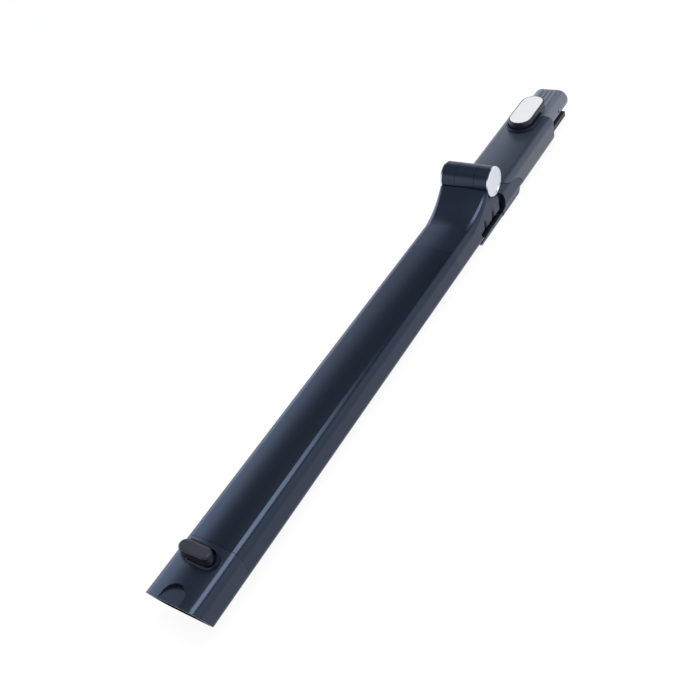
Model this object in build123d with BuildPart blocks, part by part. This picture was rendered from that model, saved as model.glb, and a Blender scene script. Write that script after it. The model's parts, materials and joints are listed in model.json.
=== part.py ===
from build123d import *
from math import sqrt
import os

os.makedirs("parts", exist_ok=True)

# A bending vacuum wand that lies on its underside along X, in millimetres.
# The floor-head end is at low X, the vacuum end at high X, and the hinge is on top.
# The origin is below the middle of its length, on the surface that it lies on.

# Outer section, the same from the collar to the step before the spigot
WIDTH = 50.0
HEIGHT = 32.0
CROWN_RADIUS = 125.0
TOP_CORNER = 8.0
BOTTOM_CORNER = 9.0

# Lengths along the wand, from the lower end to the tip of the spigot
COLLAR_LENGTH = 51.0
TUBE_LENGTH = 339.0
KNEE_LENGTH = 89.0
UPPER_LENGTH = 143.0
SPIGOT_LENGTH = 55.0

# Walls and fits
TUBE_WALL = 1.5
COLLAR_WALL = 2.5
KNEE_WALL = 2.4
SHELL_WALL = 2.0
TENON_WALL = 1.6
TENON_LENGTH = 24.0
SLIP = 0.15
RUNNING = 0.05
SEAM_GAP = 0.3
SEAM_BEVEL = 0.2

# Web that parts the lead's channel from the airway
WEB_SETBACK = 11.0
WEB_THICKNESS = 1.5
LEAD_DIAMETER = 4.2

# Lower end: slanted mouth, scoop and head release
END_SLOPE = 0.25
SCOOP_LENGTH = 14.5
SCOOP_RADIUS = 9.5
SCOOP_DEPTH = 3.0
SCOOP_SLOPE = 0.18
SCOOP_FLOOR = 1.2
HEAD_BUTTON_SETBACK = 37.4
HEAD_BUTTON_SPAN = 28.0
HEAD_BUTTON_DEPTH = 10.0
HEAD_BUTTON_RISE = 12.0
HEAD_CAP_GAP = 2.6
HEAD_PIVOT_SETBACK = 25.0
HEAD_PIVOT_DROP = 5.6
HEAD_PIN_RADIUS = 1.5
HEAD_HUB_RADIUS = 2.3
HOOK_SETBACK = 10.0
HOOK_THICKNESS = 3.5
HOOK_REACH = 1.3
HOOK_ROOM = 2.6
ROOF = 3.0
TUNNEL_HEIGHT = 9.0
TUNNEL_SETBACK = 13.0
TUNNEL_WALL = 1.8
LATCH_PLATE = 2.2
LATCH_PLATE_DROP = 6.4
LATCH_PLATE_WIDTH = 15.0
LATCH_PLAY = 0.6
STEM_SPAN = 16.0
STEM_DEPTH = 5.0
STEM_PLAY = 1.0
HEAD_SWAY = 1.9
BEZEL_PLAY = 0.9
BEZEL_LOW = 0.3
BEZEL_RISE = 6.4
BEZEL_WALL = 1.4
BUTTON_EDGE = 1.5
GROOVE_WIDTH = 0.7
GROOVE_DEPTH = 0.6

# Electrical contacts in the collar and in the plug
CONTACT_LENGTH = 25.0
CONTACT_WIDTH = 7.0
CONTACT_HEIGHT = 12.0
BLADE_THICKNESS = 0.8
BLADE_WIDTH = 4.0
BLADE_LENGTH = 20.0
BLADE_SEAT = 14.0
BLADE_PITCH = 6.0

# Hinge barrel
BARREL_RADIUS = 14.3
BARREL_GAP = 0.4
MIDDLE_KNUCKLE = 19.7
KNUCKLE_GAP = 0.35
SWING_GAP = 0.5
CREVICE = 1.2
CREVICE_DEPTH = 9.0
NECK_RADIUS = 61.0
LIP_CORNER = 3.2
LIP_CROWN_RADIUS = 700.0
NECK_STEPS = 4
HINGE_PIN_RADIUS = 4.0
BUSH_RADIUS = 5.5
BUSH_LENGTH = 8.0
BUSH_FLANGE_RADIUS = 7.0
BUSH_FLANGE = 1.2
CAP_THICKNESS = 1.9
CAP_PROUD = 0.35
CAP_BEVEL = 0.7
CAP_FACE_RADIUS = 12.0
CAP_FACE_DEPTH = 0.25
CAP_BOSS_RADIUS = 5.0
CAP_BOSS_DEPTH = 3.0
CAP_PLAY = 0.2

# Leaf-shaped windows in the sides of the knee, measured from the pivot and the underside
WINDOW_LOW = 5.5
WINDOW_DROP = 10.0
WINDOW_TIP = 38.5
WINDOW_ROUND = 27.0
WINDOW_BROW = 16.0
WINDOW_FRONT = 4.0
FLOOR_END = 5.0

# Yoke and the S-shaped seam, measured from the pivot and the underside
YOKE_FRONT = 3.0
YOKE_SCALLOP_RADIUS = 18.0
YOKE_SCALLOP_BACK = 2.0
YOKE_SCALLOP_DROP = 19.0
YOKE_FRONT_BORE = 9.0
YOKE_TENON_START = 14.0
YOKE_TENON_END = 80.0
ARM_BACK = 2.0
ARM_FRONT = 13.0
SEAM_START = 12.0
SEAM_BEND = 24.6
SEAM_BEND_DROP = 4.5
SEAM_TURN = 36.0
SEAM_TURN_DROP = 9.0
SEAM_END = 61.0
SEAM_FOOT = 3.0
SEAM_LINE = 0.9

# Bellows hose and its cuffs, ovals across the airway
HOSE_GAP = 0.9
HOSE_HEADROOM = 1.3
HOSE_CORNER = 6.5
ROOT_CORNER = 6.0
HOSE_WALL = 1.4
FOLD_PITCH = 17.0
FOLD_GROOVE = 4.0
FOLD_DEPTH = 3.0
FOLD_BEVEL = 1.2
FIRST_CREST = 3.0
CUFF_SETBACK = 4.0
CUFF_LENGTH = 10.0
CUFF_PLAY = 0.2
HOSE_END = 17.0

# Strip below the knee: rocking release lever, and keeper on the upper half
STRIP_DROP = 4.0
STRIP_SETBACK = 1.5
STRIP_TOP = 5.0
STRIP_CORNER = 4.0
LEVER_START = 41.0
LEVER_END = 10.0
LEVER_LIFT = 0.6
LEVER_GAP = 0.4
LEVER_ANGLE = 3.5
LEVER_BEVEL = 6.0
LEVER_PIVOT_BACK = 17.0
LEVER_PIVOT_DROP = 1.9
LEVER_PIN_RADIUS = 1.0
LEVER_PIN_LENGTH = 30.8
LEVER_PIN_PLAY = 0.6
LUG_SPAN = 21.0
LUG_WIDTH = 3.0
LUG_LENGTH = 6.0
LUG_DROP = 3.2
LUG_PLAY = 0.5
CATCH_WIDTH = 20.0
CATCH_PLAY = 1.0
CATCH_LENGTH = 7.5
CATCH_THICKNESS = 1.0
CATCH_TOOTH = 0.5
CATCH_TOOTH_LENGTH = 2.0
KEEPER_START = 12.0
KEEPER_END = 54.0
KEEPER_LIP = 2.4
KEEPER_LIP_LENGTH = 2.6
KEEPER_ROOM = 2.8
KEEPER_ROOM_LENGTH = 9.0
LEVER_SPRING_BACK = 33.0
LEVER_SPRING_RADIUS = 3.0
LEVER_SEAT = 1.0
SPRING_RECESS = 1.5

# Upper end: duct, spigot, plug and wand release
DUCT_WALL = 1.5
DUCT_GAP = 0.75
DUCT_TOP_STEP = 6.0
DUCT_SHELF = 7.0
END_WALL = 2.0
STEP_ROUND = 1.6
SPIGOT_SIDE_STEP = 6.0
SPIGOT_TOP_STEP = 3.0
SPIGOT_SHELF = 8.0
SPIGOT_WALL = 2.0
SPIGOT_PLAY = 0.1
FLANGE_THICKNESS = 3.0
FLANGE_MARGIN = 1.2
SPIGOT_BLEND = 20.0
SPIGOT_EDGE = 1.7
RIDGE_COUNT = 4
RIDGE_PITCH = 5.0
RIDGE_WIDTH = 2.0
RIDGE_HEIGHT = 0.8
RIDGE_INSET = 4.0
DIMPLE_RADIUS = 1.5
DIMPLE_DEPTH = 1.2
DIMPLE_REACH = 28.0
PLUG_MARGIN = 0.5
PLUG_LOW = 4.0
PLUG_WRAP = 2.5
PLUG_REACH = 43.0
PLUG_EDGE = 1.2
PLUG_BLADE_SPREAD = 12.0
UPPER_LEAD_DIAMETER = 3.0
UPPER_LEAD_SETBACK = 7.8
UPPER_LEAD_RISE = 5.8
WAND_BUTTON_BACK = 9.0
WAND_BUTTON_LENGTH = 55.0
WAND_BUTTON_WIDTH = 25.0
WAND_BUTTON_LOW = 0.8
WAND_BUTTON_RISE = 9.6
WAND_BUTTON_WALL = 2.0
WAND_BUTTON_ROOM = 4.4
WAND_BUTTON_PLAY = 0.6
WAND_BUTTON_SWAY = 1.2
PLATE_MARGIN = 1.5
PLATE_THICKNESS = 1.2
PLATE_PROUD = 0.2
WAND_BEZEL_WALL = 1.7
WAND_BEZEL_RISE = 3.2
WAND_PIVOT_BACK = 10.0
WAND_PIVOT_DROP = 3.7
WAND_PIN_RADIUS = 1.3
WAND_EAR_RADIUS = 2.0
WAND_EAR_WIDTH = 3.0
WAND_EAR_SPAN = 17.4
WAND_PLATE_LENGTH = 49.0
WAND_PLATE_WIDTH = 20.0
WAND_PLATE = 2.2
NOSE_LENGTH = 3.5
NOSE_WIDTH = 10.0
NOSE_DROP = 2.5
BOSS_INNER = 14.5
BOSS_WIDTH = 4.0
BOSS_LENGTH = 5.0
WAND_SPRING_BACK = 29.0
WAND_SPRING_RADIUS = 3.2

# Springs and screws
SPRING_WIRE = 0.6
SPRING_TURNS = 4
HEAD_SPRING_RADIUS = 1.5
HEAD_SPRING_BORE = 2.1
HEAD_SPRING_DEPTH = 5.4
SCREW_RADIUS = 1.4
SCREW_LENGTH = 5.0
SCREW_HEAD_RADIUS = 2.7
SCREW_HEAD_HEIGHT = 1.5
SCREW_SPREAD = 20.0

# Stations and levels that follow from the sizes above
X_END = -(COLLAR_LENGTH + TUBE_LENGTH + KNEE_LENGTH + UPPER_LENGTH + SPIGOT_LENGTH) / 2
X_TUBE = X_END + COLLAR_LENGTH
X_KNEE = X_TUBE + TUBE_LENGTH
X_PIVOT = X_KNEE + KNEE_LENGTH
X_STEP = X_PIVOT + UPPER_LENGTH
X_TIP = X_STEP + SPIGOT_LENGTH
Z_UNDER = STRIP_DROP
Z_MID = Z_UNDER + HEIGHT / 2
Z_TOP = Z_UNDER + HEIGHT
Z_PIVOT = Z_TOP + BARREL_GAP + BARREL_RADIUS
TENON_INSET = TUBE_WALL + SLIP
TENON_BORE = TENON_INSET + TENON_WALL
YOKE_TENON_INSET = SHELL_WALL + SLIP
YOKE_BORE = YOKE_TENON_INSET + TENON_WALL
WEB_Y = WIDTH / 2 - WEB_SETBACK
TUNNEL_WIDTH = WIDTH - 2 * TUNNEL_SETBACK
LEAD_Y = (WEB_Y + WEB_THICKNESS / 2 + WIDTH / 2 - TUBE_WALL) / 2
UPPER_LEAD_Y = WIDTH / 2 - UPPER_LEAD_SETBACK
BARREL_LENGTH = WIDTH + 2 * (CAP_PROUD - CAP_THICKNESS)
STRIP_WIDTH = WIDTH - 2 * STRIP_SETBACK
WINDOW_HIGH = HEIGHT - WINDOW_DROP
HOSE_WIDTH = WIDTH - 2 * (KNEE_WALL + HOSE_GAP)
HOSE_HEIGHT = HEIGHT - 2 * (KNEE_WALL + HOSE_HEADROOM)
DUCT_WIDTH = WIDTH - 2 * (YOKE_BORE + DUCT_GAP)
DUCT_HEIGHT = HEIGHT - 2 * (YOKE_BORE + DUCT_GAP)
SPIGOT_WIDTH = WIDTH - 2 * SPIGOT_SIDE_STEP
SPIGOT_HEIGHT = HEIGHT - SPIGOT_TOP_STEP - SPIGOT_SHELF
SPIGOT_RISE = SPIGOT_SHELF + SPIGOT_HEIGHT / 2
DUCT_END_WIDTH = SPIGOT_WIDTH
DUCT_END_HEIGHT = HEIGHT - DUCT_TOP_STEP - DUCT_SHELF
DUCT_END_RISE = DUCT_SHELF + DUCT_END_HEIGHT / 2
PLUG_WIDTH = SPIGOT_WIDTH + 2 * PLUG_MARGIN
PLUG_HIGH = SPIGOT_SHELF + PLUG_WRAP
X_CUFF = X_KNEE + CUFF_SETBACK
X_HOSE_END = X_PIVOT + HOSE_END
X_DUCT = X_HOSE_END + CUFF_LENGTH
X_FLANGE = X_STEP - END_WALL - FLANGE_THICKNESS
BEYOND = 2 * WIDTH


def section(x, inset=0.0, rise=0.0, corner=TOP_CORNER, crown=CROWN_RADIUS):
    """Crowned, round-cornered section of the wand at station x, drawn in by inset.

    Its top can rise above the wand's, with corners and a crown of its own.
    """
    with BuildSketch(Plane.YZ.offset(x)) as outline:
        with Locations((0, Z_MID + rise / 2)):
            Rectangle(WIDTH - 2 * inset, HEIGHT + rise - 2 * inset)
        with Locations((0, Z_TOP + rise - crown)):
            Circle(crown - inset, mode=Mode.INTERSECT)
        fillet(outline.vertices().group_by(Axis.Y)[-1], corner - inset)
        fillet(outline.vertices().group_by(Axis.Y)[0], BOTTOM_CORNER - inset)
    return outline.sketch


def oval(x, width, height, level):
    """Oval of the airway at station x, with its centre at the given height."""
    with BuildSketch(Plane.YZ.offset(x)) as outline:
        with Locations((0, level)):
            SlotOverall(width, height)
    return outline.sketch


def fold(x, inset, corner):
    """Outline of the bellows at station x, drawn in from its crests by inset."""
    with BuildSketch(Plane.YZ.offset(x)) as outline:
        with Locations((0, Z_MID)):
            RectangleRounded(HOSE_WIDTH - 2 * inset, HOSE_HEIGHT - 2 * inset, corner)
    return outline.sketch


def pill(x, z, length, width, along=0):
    """Flat pill in plan, centred on the wand at station x and height z."""
    with BuildSketch(Plane.XY.offset(z)) as outline:
        with Locations((x, 0)):
            SlotOverall(length, width, rotation=along)
    return outline.sketch


def pill_groove(x, z, length, width, along=0):
    """Ring around a pill, for a groove of the named width and depth."""
    with BuildSketch(Plane.XY.offset(z)) as ring:
        with Locations((x, 0)):
            SlotOverall(length + GROOVE_DEPTH, width + GROOVE_DEPTH, rotation=along)
            SlotOverall(
                length - 2 * GROOVE_DEPTH, width - 2 * GROOVE_DEPTH, rotation=along, mode=Mode.SUBTRACT
            )
    return ring.sketch


def seam_side(gap):
    """Side view of all that lies on the knee side of the S-shaped seam, moved along by gap."""
    with BuildSketch(Plane.XZ) as side:
        with BuildLine():
            start = (X_PIVOT + SEAM_START + gap, Z_TOP + BARREL_RADIUS)
            bend = (X_PIVOT + SEAM_BEND + gap, Z_TOP - SEAM_BEND_DROP)
            turn = (X_PIVOT + SEAM_TURN + gap, Z_TOP - SEAM_TURN_DROP)
            foot = (X_PIVOT + SEAM_END + gap, Z_UNDER - SEAM_FOOT)
            brow = ThreePointArc(start, bend, turn)
            TangentArc(turn, foot, tangent=brow % 1)
            Polyline(
                foot,
                (foot[0], Z_UNDER - HEIGHT),
                (X_PIVOT - WIDTH, Z_UNDER - HEIGHT),
                (X_PIVOT - WIDTH, start[1]),
                start,
            )
        make_face()
    return side.sketch


def pair(x, spread, z):
    """Two places at station x and height z, spread evenly either side of the middle."""
    return [(x, -spread / 2, z), (x, spread / 2, z)]


def strip(x, z_low):
    """Outline across the wand of the strip below the knee, at station x."""
    with BuildSketch(Plane.YZ.offset(x)) as outline:
        with Locations((0, (z_low + Z_UNDER + STRIP_TOP) / 2)):
            Rectangle(STRIP_WIDTH, Z_UNDER + STRIP_TOP - z_low)
        fillet(outline.vertices().group_by(Axis.Y)[0], STRIP_CORNER)
    return outline.sketch


# Lower tube: dark anodised extrusion with a web beside the airway
SCREW_X = {
    "collar_screws": X_TUBE + TENON_LENGTH / 2,
    "knee_screws": X_KNEE - TENON_LENGTH / 2,
    "upper_screws": X_PIVOT + (SEAM_END + YOKE_TENON_END) / 2,
}
with BuildPart() as lower_tube:
    extrude(section(X_TUBE), amount=TUBE_LENGTH)
    extrude(section(X_TUBE, TUBE_WALL), amount=TUBE_LENGTH, mode=Mode.SUBTRACT)
    with Locations((X_TUBE + TUBE_LENGTH / 2, WEB_Y, Z_MID)):
        Box(TUBE_LENGTH, WEB_THICKNESS, HEIGHT - 2 * TUBE_WALL)
    for name in ("collar_screws", "knee_screws"):
        with Locations(*pair(SCREW_X[name], SCREW_SPREAD, Z_UNDER)):
            Cylinder(SCREW_RADIUS, 2 * SCREW_LENGTH, mode=Mode.SUBTRACT)
    for end in (lower_tube.faces().sort_by(Axis.X)[0], lower_tube.faces().sort_by(Axis.X)[-1]):
        chamfer(end.outer_wire().edges(), SEAM_BEVEL)
lower_tube.part.label = "lower_tube"
export_step(lower_tube.part, "parts/lower_tube.step")

# Lower collar: moulded socket for the floor head, with a latch tunnel hung below its roof
X_HEAD_BUTTON = X_END + HEAD_BUTTON_SETBACK
X_HEAD_PIVOT = X_END + HEAD_PIVOT_SETBACK
Z_HEAD_PIVOT = Z_TOP - HEAD_PIVOT_DROP
Z_TUNNEL_ROOF = Z_TOP - ROOF
Z_TUNNEL_FLOOR = Z_TUNNEL_ROOF - TUNNEL_HEIGHT
X_TUNNEL = X_END + HOOK_SETBACK - HOOK_ROOM
X_TUNNEL_END = X_TUBE - TUNNEL_WALL
scoop_plane = Plane(
    origin=(X_END + SCOOP_LENGTH, 0, Z_TOP - SCOOP_DEPTH),
    x_dir=(1, 0, -SCOOP_SLOPE),
    z_dir=(SCOOP_SLOPE, 0, 1),
)
with BuildPart() as lower_collar:
    extrude(section(X_END), amount=COLLAR_LENGTH)
    split(bisect_by=Plane(origin=(X_END, 0, Z_TOP), z_dir=(1, 0, END_SLOPE)), keep=Keep.TOP)
    for end in (lower_collar.faces().sort_by(Axis.X)[0], lower_collar.faces().sort_by(Axis.X)[-1]):
        chamfer(end.edges(), SEAM_BEVEL)
    extrude(section(X_TUBE, TENON_INSET), amount=TENON_LENGTH)
    extrude(section(X_END, COLLAR_WALL), amount=COLLAR_LENGTH, mode=Mode.SUBTRACT)
    extrude(section(X_TUBE, TENON_BORE), amount=TENON_LENGTH, mode=Mode.SUBTRACT)
    with Locations((X_TUBE + TENON_LENGTH / 2, WEB_Y, Z_MID)):
        Box(TENON_LENGTH, WEB_THICKNESS + 2 * SLIP, HEIGHT, mode=Mode.SUBTRACT)
    with Locations((X_TUBE, 0, Z_TOP - ROOF / 2)):
        Box(
            X_TUBE - X_TUNNEL + TUNNEL_WALL,
            TUNNEL_WIDTH + 2 * TUNNEL_WALL,
            TUNNEL_HEIGHT + ROOF / 2 + TUNNEL_WALL,
            align=(Align.MAX, Align.CENTER, Align.MAX),
        )
    with Locations(((X_TUNNEL + X_TUNNEL_END) / 2, 0, Z_TUNNEL_FLOOR)):
        Box(
            X_TUNNEL_END - X_TUNNEL,
            TUNNEL_WIDTH,
            TUNNEL_HEIGHT,
            align=(Align.CENTER, Align.CENTER, Align.MIN),
            mode=Mode.SUBTRACT,
        )
    with Locations((X_TUNNEL, 0, Z_TUNNEL_FLOOR)):
        Box(
            HOOK_THICKNESS + 2 * HOOK_ROOM,
            LATCH_PLATE_WIDTH + 2 * LATCH_PLAY,
            2 * TUNNEL_HEIGHT,
            align=(Align.MIN, Align.CENTER, Align.CENTER),
            mode=Mode.SUBTRACT,
        )
    with Locations((X_TUNNEL, 0, Z_TUNNEL_ROOF)):
        Box(
            X_END + SCOOP_LENGTH + SCOOP_FLOOR - X_TUNNEL,
            TUNNEL_WIDTH,
            SCOOP_DEPTH + SCOOP_FLOOR - ROOF,
            align=(Align.MIN, Align.CENTER, Align.MAX),
        )
    extrude(
        pill(
            X_HEAD_BUTTON + HEAD_SWAY / 2,
            Z_TUNNEL_ROOF,
            STEM_SPAN + 2 * STEM_PLAY,
            STEM_DEPTH + HEAD_SWAY + 2 * STEM_PLAY,
            90,
        ),
        amount=2 * ROOF,
        mode=Mode.SUBTRACT,
    )
    with Locations((X_HEAD_PIVOT, 0, Z_HEAD_PIVOT)):
        Cylinder(
            HEAD_PIN_RADIUS, TUNNEL_WIDTH + 2 * TUNNEL_WALL, rotation=(90, 0, 0), mode=Mode.SUBTRACT
        )
    with Locations(*pair(SCREW_X["collar_screws"], SCREW_SPREAD, Z_UNDER)):
        Cylinder(SCREW_RADIUS, 2 * SCREW_LENGTH, mode=Mode.SUBTRACT)
    with BuildSketch(scoop_plane):
        with Locations((-SCOOP_RADIUS, 0)):
            Circle(SCOOP_RADIUS)
            Rectangle(2 * SCOOP_LENGTH, 2 * SCOOP_RADIUS, align=(Align.MAX, Align.CENTER))
    extrude(amount=HEIGHT, mode=Mode.SUBTRACT)
lower_collar.part.label = "lower_collar"
export_step(lower_collar.part, "parts/lower_collar.step")

# Head button bezel: black ring glued on the collar behind the button, sloping down to its front
X_BEZEL = X_HEAD_BUTTON + HEAD_SWAY / 2
BEZEL_SPAN = HEAD_BUTTON_SPAN + 2 * (BEZEL_PLAY + BEZEL_WALL)
BEZEL_DEPTH = HEAD_BUTTON_DEPTH + HEAD_SWAY + SEAM_GAP + 2 * BEZEL_WALL
BEZEL_SLOPE = (BEZEL_RISE - BEZEL_LOW) / BEZEL_DEPTH
bezel_top = Plane(
    origin=(X_BEZEL - BEZEL_DEPTH / 2, 0, Z_TOP + BEZEL_LOW), z_dir=(-BEZEL_SLOPE, 0, 1)
)
with BuildPart() as head_button_bezel:
    extrude(pill(X_BEZEL, Z_TUNNEL_ROOF, BEZEL_SPAN, BEZEL_DEPTH, 90), amount=ROOF + BEZEL_RISE)
    split(bisect_by=bezel_top, keep=Keep.BOTTOM)
    extrude(
        pill(X_BEZEL, Z_TUNNEL_ROOF, BEZEL_SPAN - 2 * BEZEL_WALL, BEZEL_DEPTH - 2 * BEZEL_WALL, 90),
        amount=HEIGHT,
        mode=Mode.SUBTRACT,
    )
    extrude(section(X_END), amount=COLLAR_LENGTH, mode=Mode.SUBTRACT)
head_button_bezel.part.label = "head_button_bezel"
export_step(head_button_bezel.part, "parts/head_button_bezel.step")

# Head latch: rocking lever in the tunnel, with a ramped hook at the mouth
Z_LATCH_PLATE = Z_TOP - LATCH_PLATE_DROP
X_HOOK = X_END + HOOK_SETBACK
Z_HOOK = Z_TUNNEL_FLOOR - TUNNEL_WALL - HOOK_REACH
X_LATCH_END = X_HEAD_BUTTON + STEM_DEPTH
with BuildPart() as head_latch:
    with Locations(((X_HOOK + X_LATCH_END) / 2, 0, Z_LATCH_PLATE)):
        Box(
            X_LATCH_END - X_HOOK,
            LATCH_PLATE_WIDTH,
            LATCH_PLATE,
            align=(Align.CENTER, Align.CENTER, Align.MAX),
        )
    with Locations((X_HEAD_PIVOT, 0, Z_HEAD_PIVOT)):
        Cylinder(HEAD_HUB_RADIUS, TUNNEL_WIDTH - 2 * SEAM_GAP, rotation=(90, 0, 0))
        Cylinder(HEAD_PIN_RADIUS + RUNNING, TUNNEL_WIDTH, rotation=(90, 0, 0), mode=Mode.SUBTRACT)
    with BuildSketch(Plane.XZ):
        with BuildLine():
            Polyline(
                (X_HOOK, Z_LATCH_PLATE),
                (X_HOOK, Z_HOOK + HOOK_THICKNESS / 2),
                (X_HOOK + HOOK_THICKNESS / 2, Z_HOOK),
                (X_HOOK + HOOK_THICKNESS, Z_HOOK),
                (X_HOOK + HOOK_THICKNESS, Z_LATCH_PLATE),
                close=True,
            )
        make_face()
    extrude(amount=LATCH_PLATE_WIDTH / 2, both=True)
    with Locations((X_HEAD_BUTTON, 0, Z_LATCH_PLATE)):
        Cylinder(HEAD_SPRING_BORE, TUNNEL_HEIGHT, mode=Mode.SUBTRACT)
head_latch.part.label = "head_latch"
export_step(head_latch.part, "parts/head_latch.step")

# Head release button: black knob on a hollow stem that stands on the latch
Z_HEAD_CAP = Z_TOP + HEAD_CAP_GAP
Z_HEAD_BUTTON = Z_TOP + HEAD_BUTTON_RISE
with BuildPart() as head_release_button:
    extrude(
        pill(X_HEAD_BUTTON, Z_HEAD_CAP, HEAD_BUTTON_SPAN, HEAD_BUTTON_DEPTH, 90),
        amount=Z_HEAD_BUTTON - Z_HEAD_CAP,
    )
    fillet(head_release_button.faces().sort_by(Axis.Z)[-1].edges(), BUTTON_EDGE)
    extrude(
        pill(X_HEAD_BUTTON, Z_LATCH_PLATE, STEM_SPAN, STEM_DEPTH, 90), amount=Z_HEAD_CAP - Z_LATCH_PLATE
    )
    extrude(
        pill_groove(
            X_HEAD_BUTTON,
            Z_HEAD_BUTTON - BUTTON_EDGE - 2 * GROOVE_WIDTH,
            HEAD_BUTTON_SPAN,
            HEAD_BUTTON_DEPTH,
            90,
        ),
        amount=GROOVE_WIDTH,
        mode=Mode.SUBTRACT,
    )
    with Locations((X_HEAD_BUTTON, 0, Z_LATCH_PLATE)):
        Cylinder(HEAD_SPRING_BORE, 2 * HEAD_SPRING_DEPTH, mode=Mode.SUBTRACT)
head_release_button.part.label = "head_release_button"
export_step(head_release_button.part, "parts/head_release_button.step")

# Head latch pin: steel, pressed into the tunnel's side walls
with BuildPart() as head_latch_pin:
    with Locations((X_HEAD_PIVOT, 0, Z_HEAD_PIVOT)):
        Cylinder(HEAD_PIN_RADIUS, TUNNEL_WIDTH + 2 * TUNNEL_WALL, rotation=(90, 0, 0))
head_latch_pin.part.label = "head_latch_pin"
export_step(head_latch_pin.part, "parts/head_latch_pin.step")

# Coil springs: one under each of the two buttons and one above the lever
Z_WAND_PLATE = Z_TOP + WAND_BUTTON_LOW + WAND_BUTTON_ROOM
X_WAND_PIVOT = X_STEP - WAND_PIVOT_BACK
X_WAND_SPRING = X_STEP - WAND_SPRING_BACK
DUCT_SLOPE = (DUCT_END_RISE + DUCT_END_HEIGHT / 2 - HEIGHT / 2 - DUCT_HEIGHT / 2) / (X_FLANGE - X_DUCT)
Z_DUCT_TOP = Z_MID + DUCT_HEIGHT / 2 + DUCT_SLOPE * (X_WAND_SPRING - X_DUCT)
springs = {
    "head_latch_spring": (
        X_HEAD_BUTTON, Z_TUNNEL_FLOOR, Z_LATCH_PLATE + HEAD_SPRING_DEPTH, HEAD_SPRING_RADIUS
    ),
    "bend_lever_spring": (
        X_PIVOT - LEVER_SPRING_BACK, LEVER_LIFT + LEVER_SEAT, Z_UNDER + SPRING_RECESS, LEVER_SPRING_RADIUS
    ),
    "wand_latch_spring": (X_WAND_SPRING, Z_DUCT_TOP, Z_WAND_PLATE - WAND_PLATE, WAND_SPRING_RADIUS),
}
for name, (x, z_low, z_high, radius) in springs.items():
    height = z_high - z_low - SPRING_WIRE - 2 * RUNNING
    with BuildPart() as spring:
        with BuildLine(Plane(origin=(x, 0, z_low + SPRING_WIRE / 2 + RUNNING))) as coil:
            Helix(pitch=height / SPRING_TURNS, height=height, radius=radius - SPRING_WIRE / 2)
        with BuildSketch(Plane(origin=coil.line @ 0, z_dir=coil.line % 0)):
            Circle(SPRING_WIRE / 2)
        sweep(path=coil.line)
    spring.part.label = name
    export_step(spring.part, f"parts/{name}.step")

# Contact block and blades: the floor head's supply, beside the airway of the collar
X_CONTACT_END = X_TUBE - SLIP
X_CONTACT = X_CONTACT_END - CONTACT_LENGTH
Y_CONTACT = WIDTH / 2 - COLLAR_WALL
BLADE_LEVELS = (Z_MID - BLADE_PITCH / 2, Z_MID + BLADE_PITCH / 2)
with BuildPart() as head_contact_block:
    with Locations((X_CONTACT, Y_CONTACT, Z_MID)):
        Box(
            CONTACT_LENGTH,
            CONTACT_WIDTH,
            CONTACT_HEIGHT,
            align=(Align.MIN, Align.MAX, Align.CENTER),
        )
    with Locations(*[(X_CONTACT, LEAD_Y, z) for z in BLADE_LEVELS]):
        Box(2 * BLADE_SEAT, BLADE_WIDTH, BLADE_THICKNESS, mode=Mode.SUBTRACT)
head_contact_block.part.label = "head_contact_block"
export_step(head_contact_block.part, "parts/head_contact_block.step")

with BuildPart() as head_contact_blades:
    with Locations(*[(X_CONTACT + BLADE_SEAT, LEAD_Y, z) for z in BLADE_LEVELS]):
        Box(
            BLADE_LENGTH,
            BLADE_WIDTH,
            BLADE_THICKNESS,
            align=(Align.MAX, Align.CENTER, Align.CENTER),
        )
head_contact_blades.part.label = "head_contact_blades"
export_step(head_contact_blades.part, "parts/head_contact_blades.step")

# Lower lead: straight through the tube's channel, from the contact block to the lower cuff
with BuildPart() as lower_lead:
    with BuildSketch(Plane.YZ.offset(X_CONTACT_END)):
        with Locations((LEAD_Y, Z_MID)):
            Circle(LEAD_DIAMETER / 2)
    extrude(amount=X_CUFF - X_CONTACT_END)
lower_lead.part.label = "lower_lead"
export_step(lower_lead.part, "parts/lower_lead.step")

# Knee lower housing: neck that sweeps up to the barrel, outer knuckles and leaf-shaped windows


def neck_section(share, inset=0.0):
    """Section at a share of the neck: it rises on an arc while its corners and crown flatten out."""
    reach = share * NECK_LENGTH
    return section(
        X_NECK + reach,
        inset,
        rise=NECK_RADIUS - sqrt(NECK_RADIUS**2 - reach**2),
        corner=TOP_CORNER + share * (LIP_CORNER - TOP_CORNER),
        crown=CROWN_RADIUS + share * (LIP_CROWN_RADIUS - CROWN_RADIUS),
    )


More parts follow.
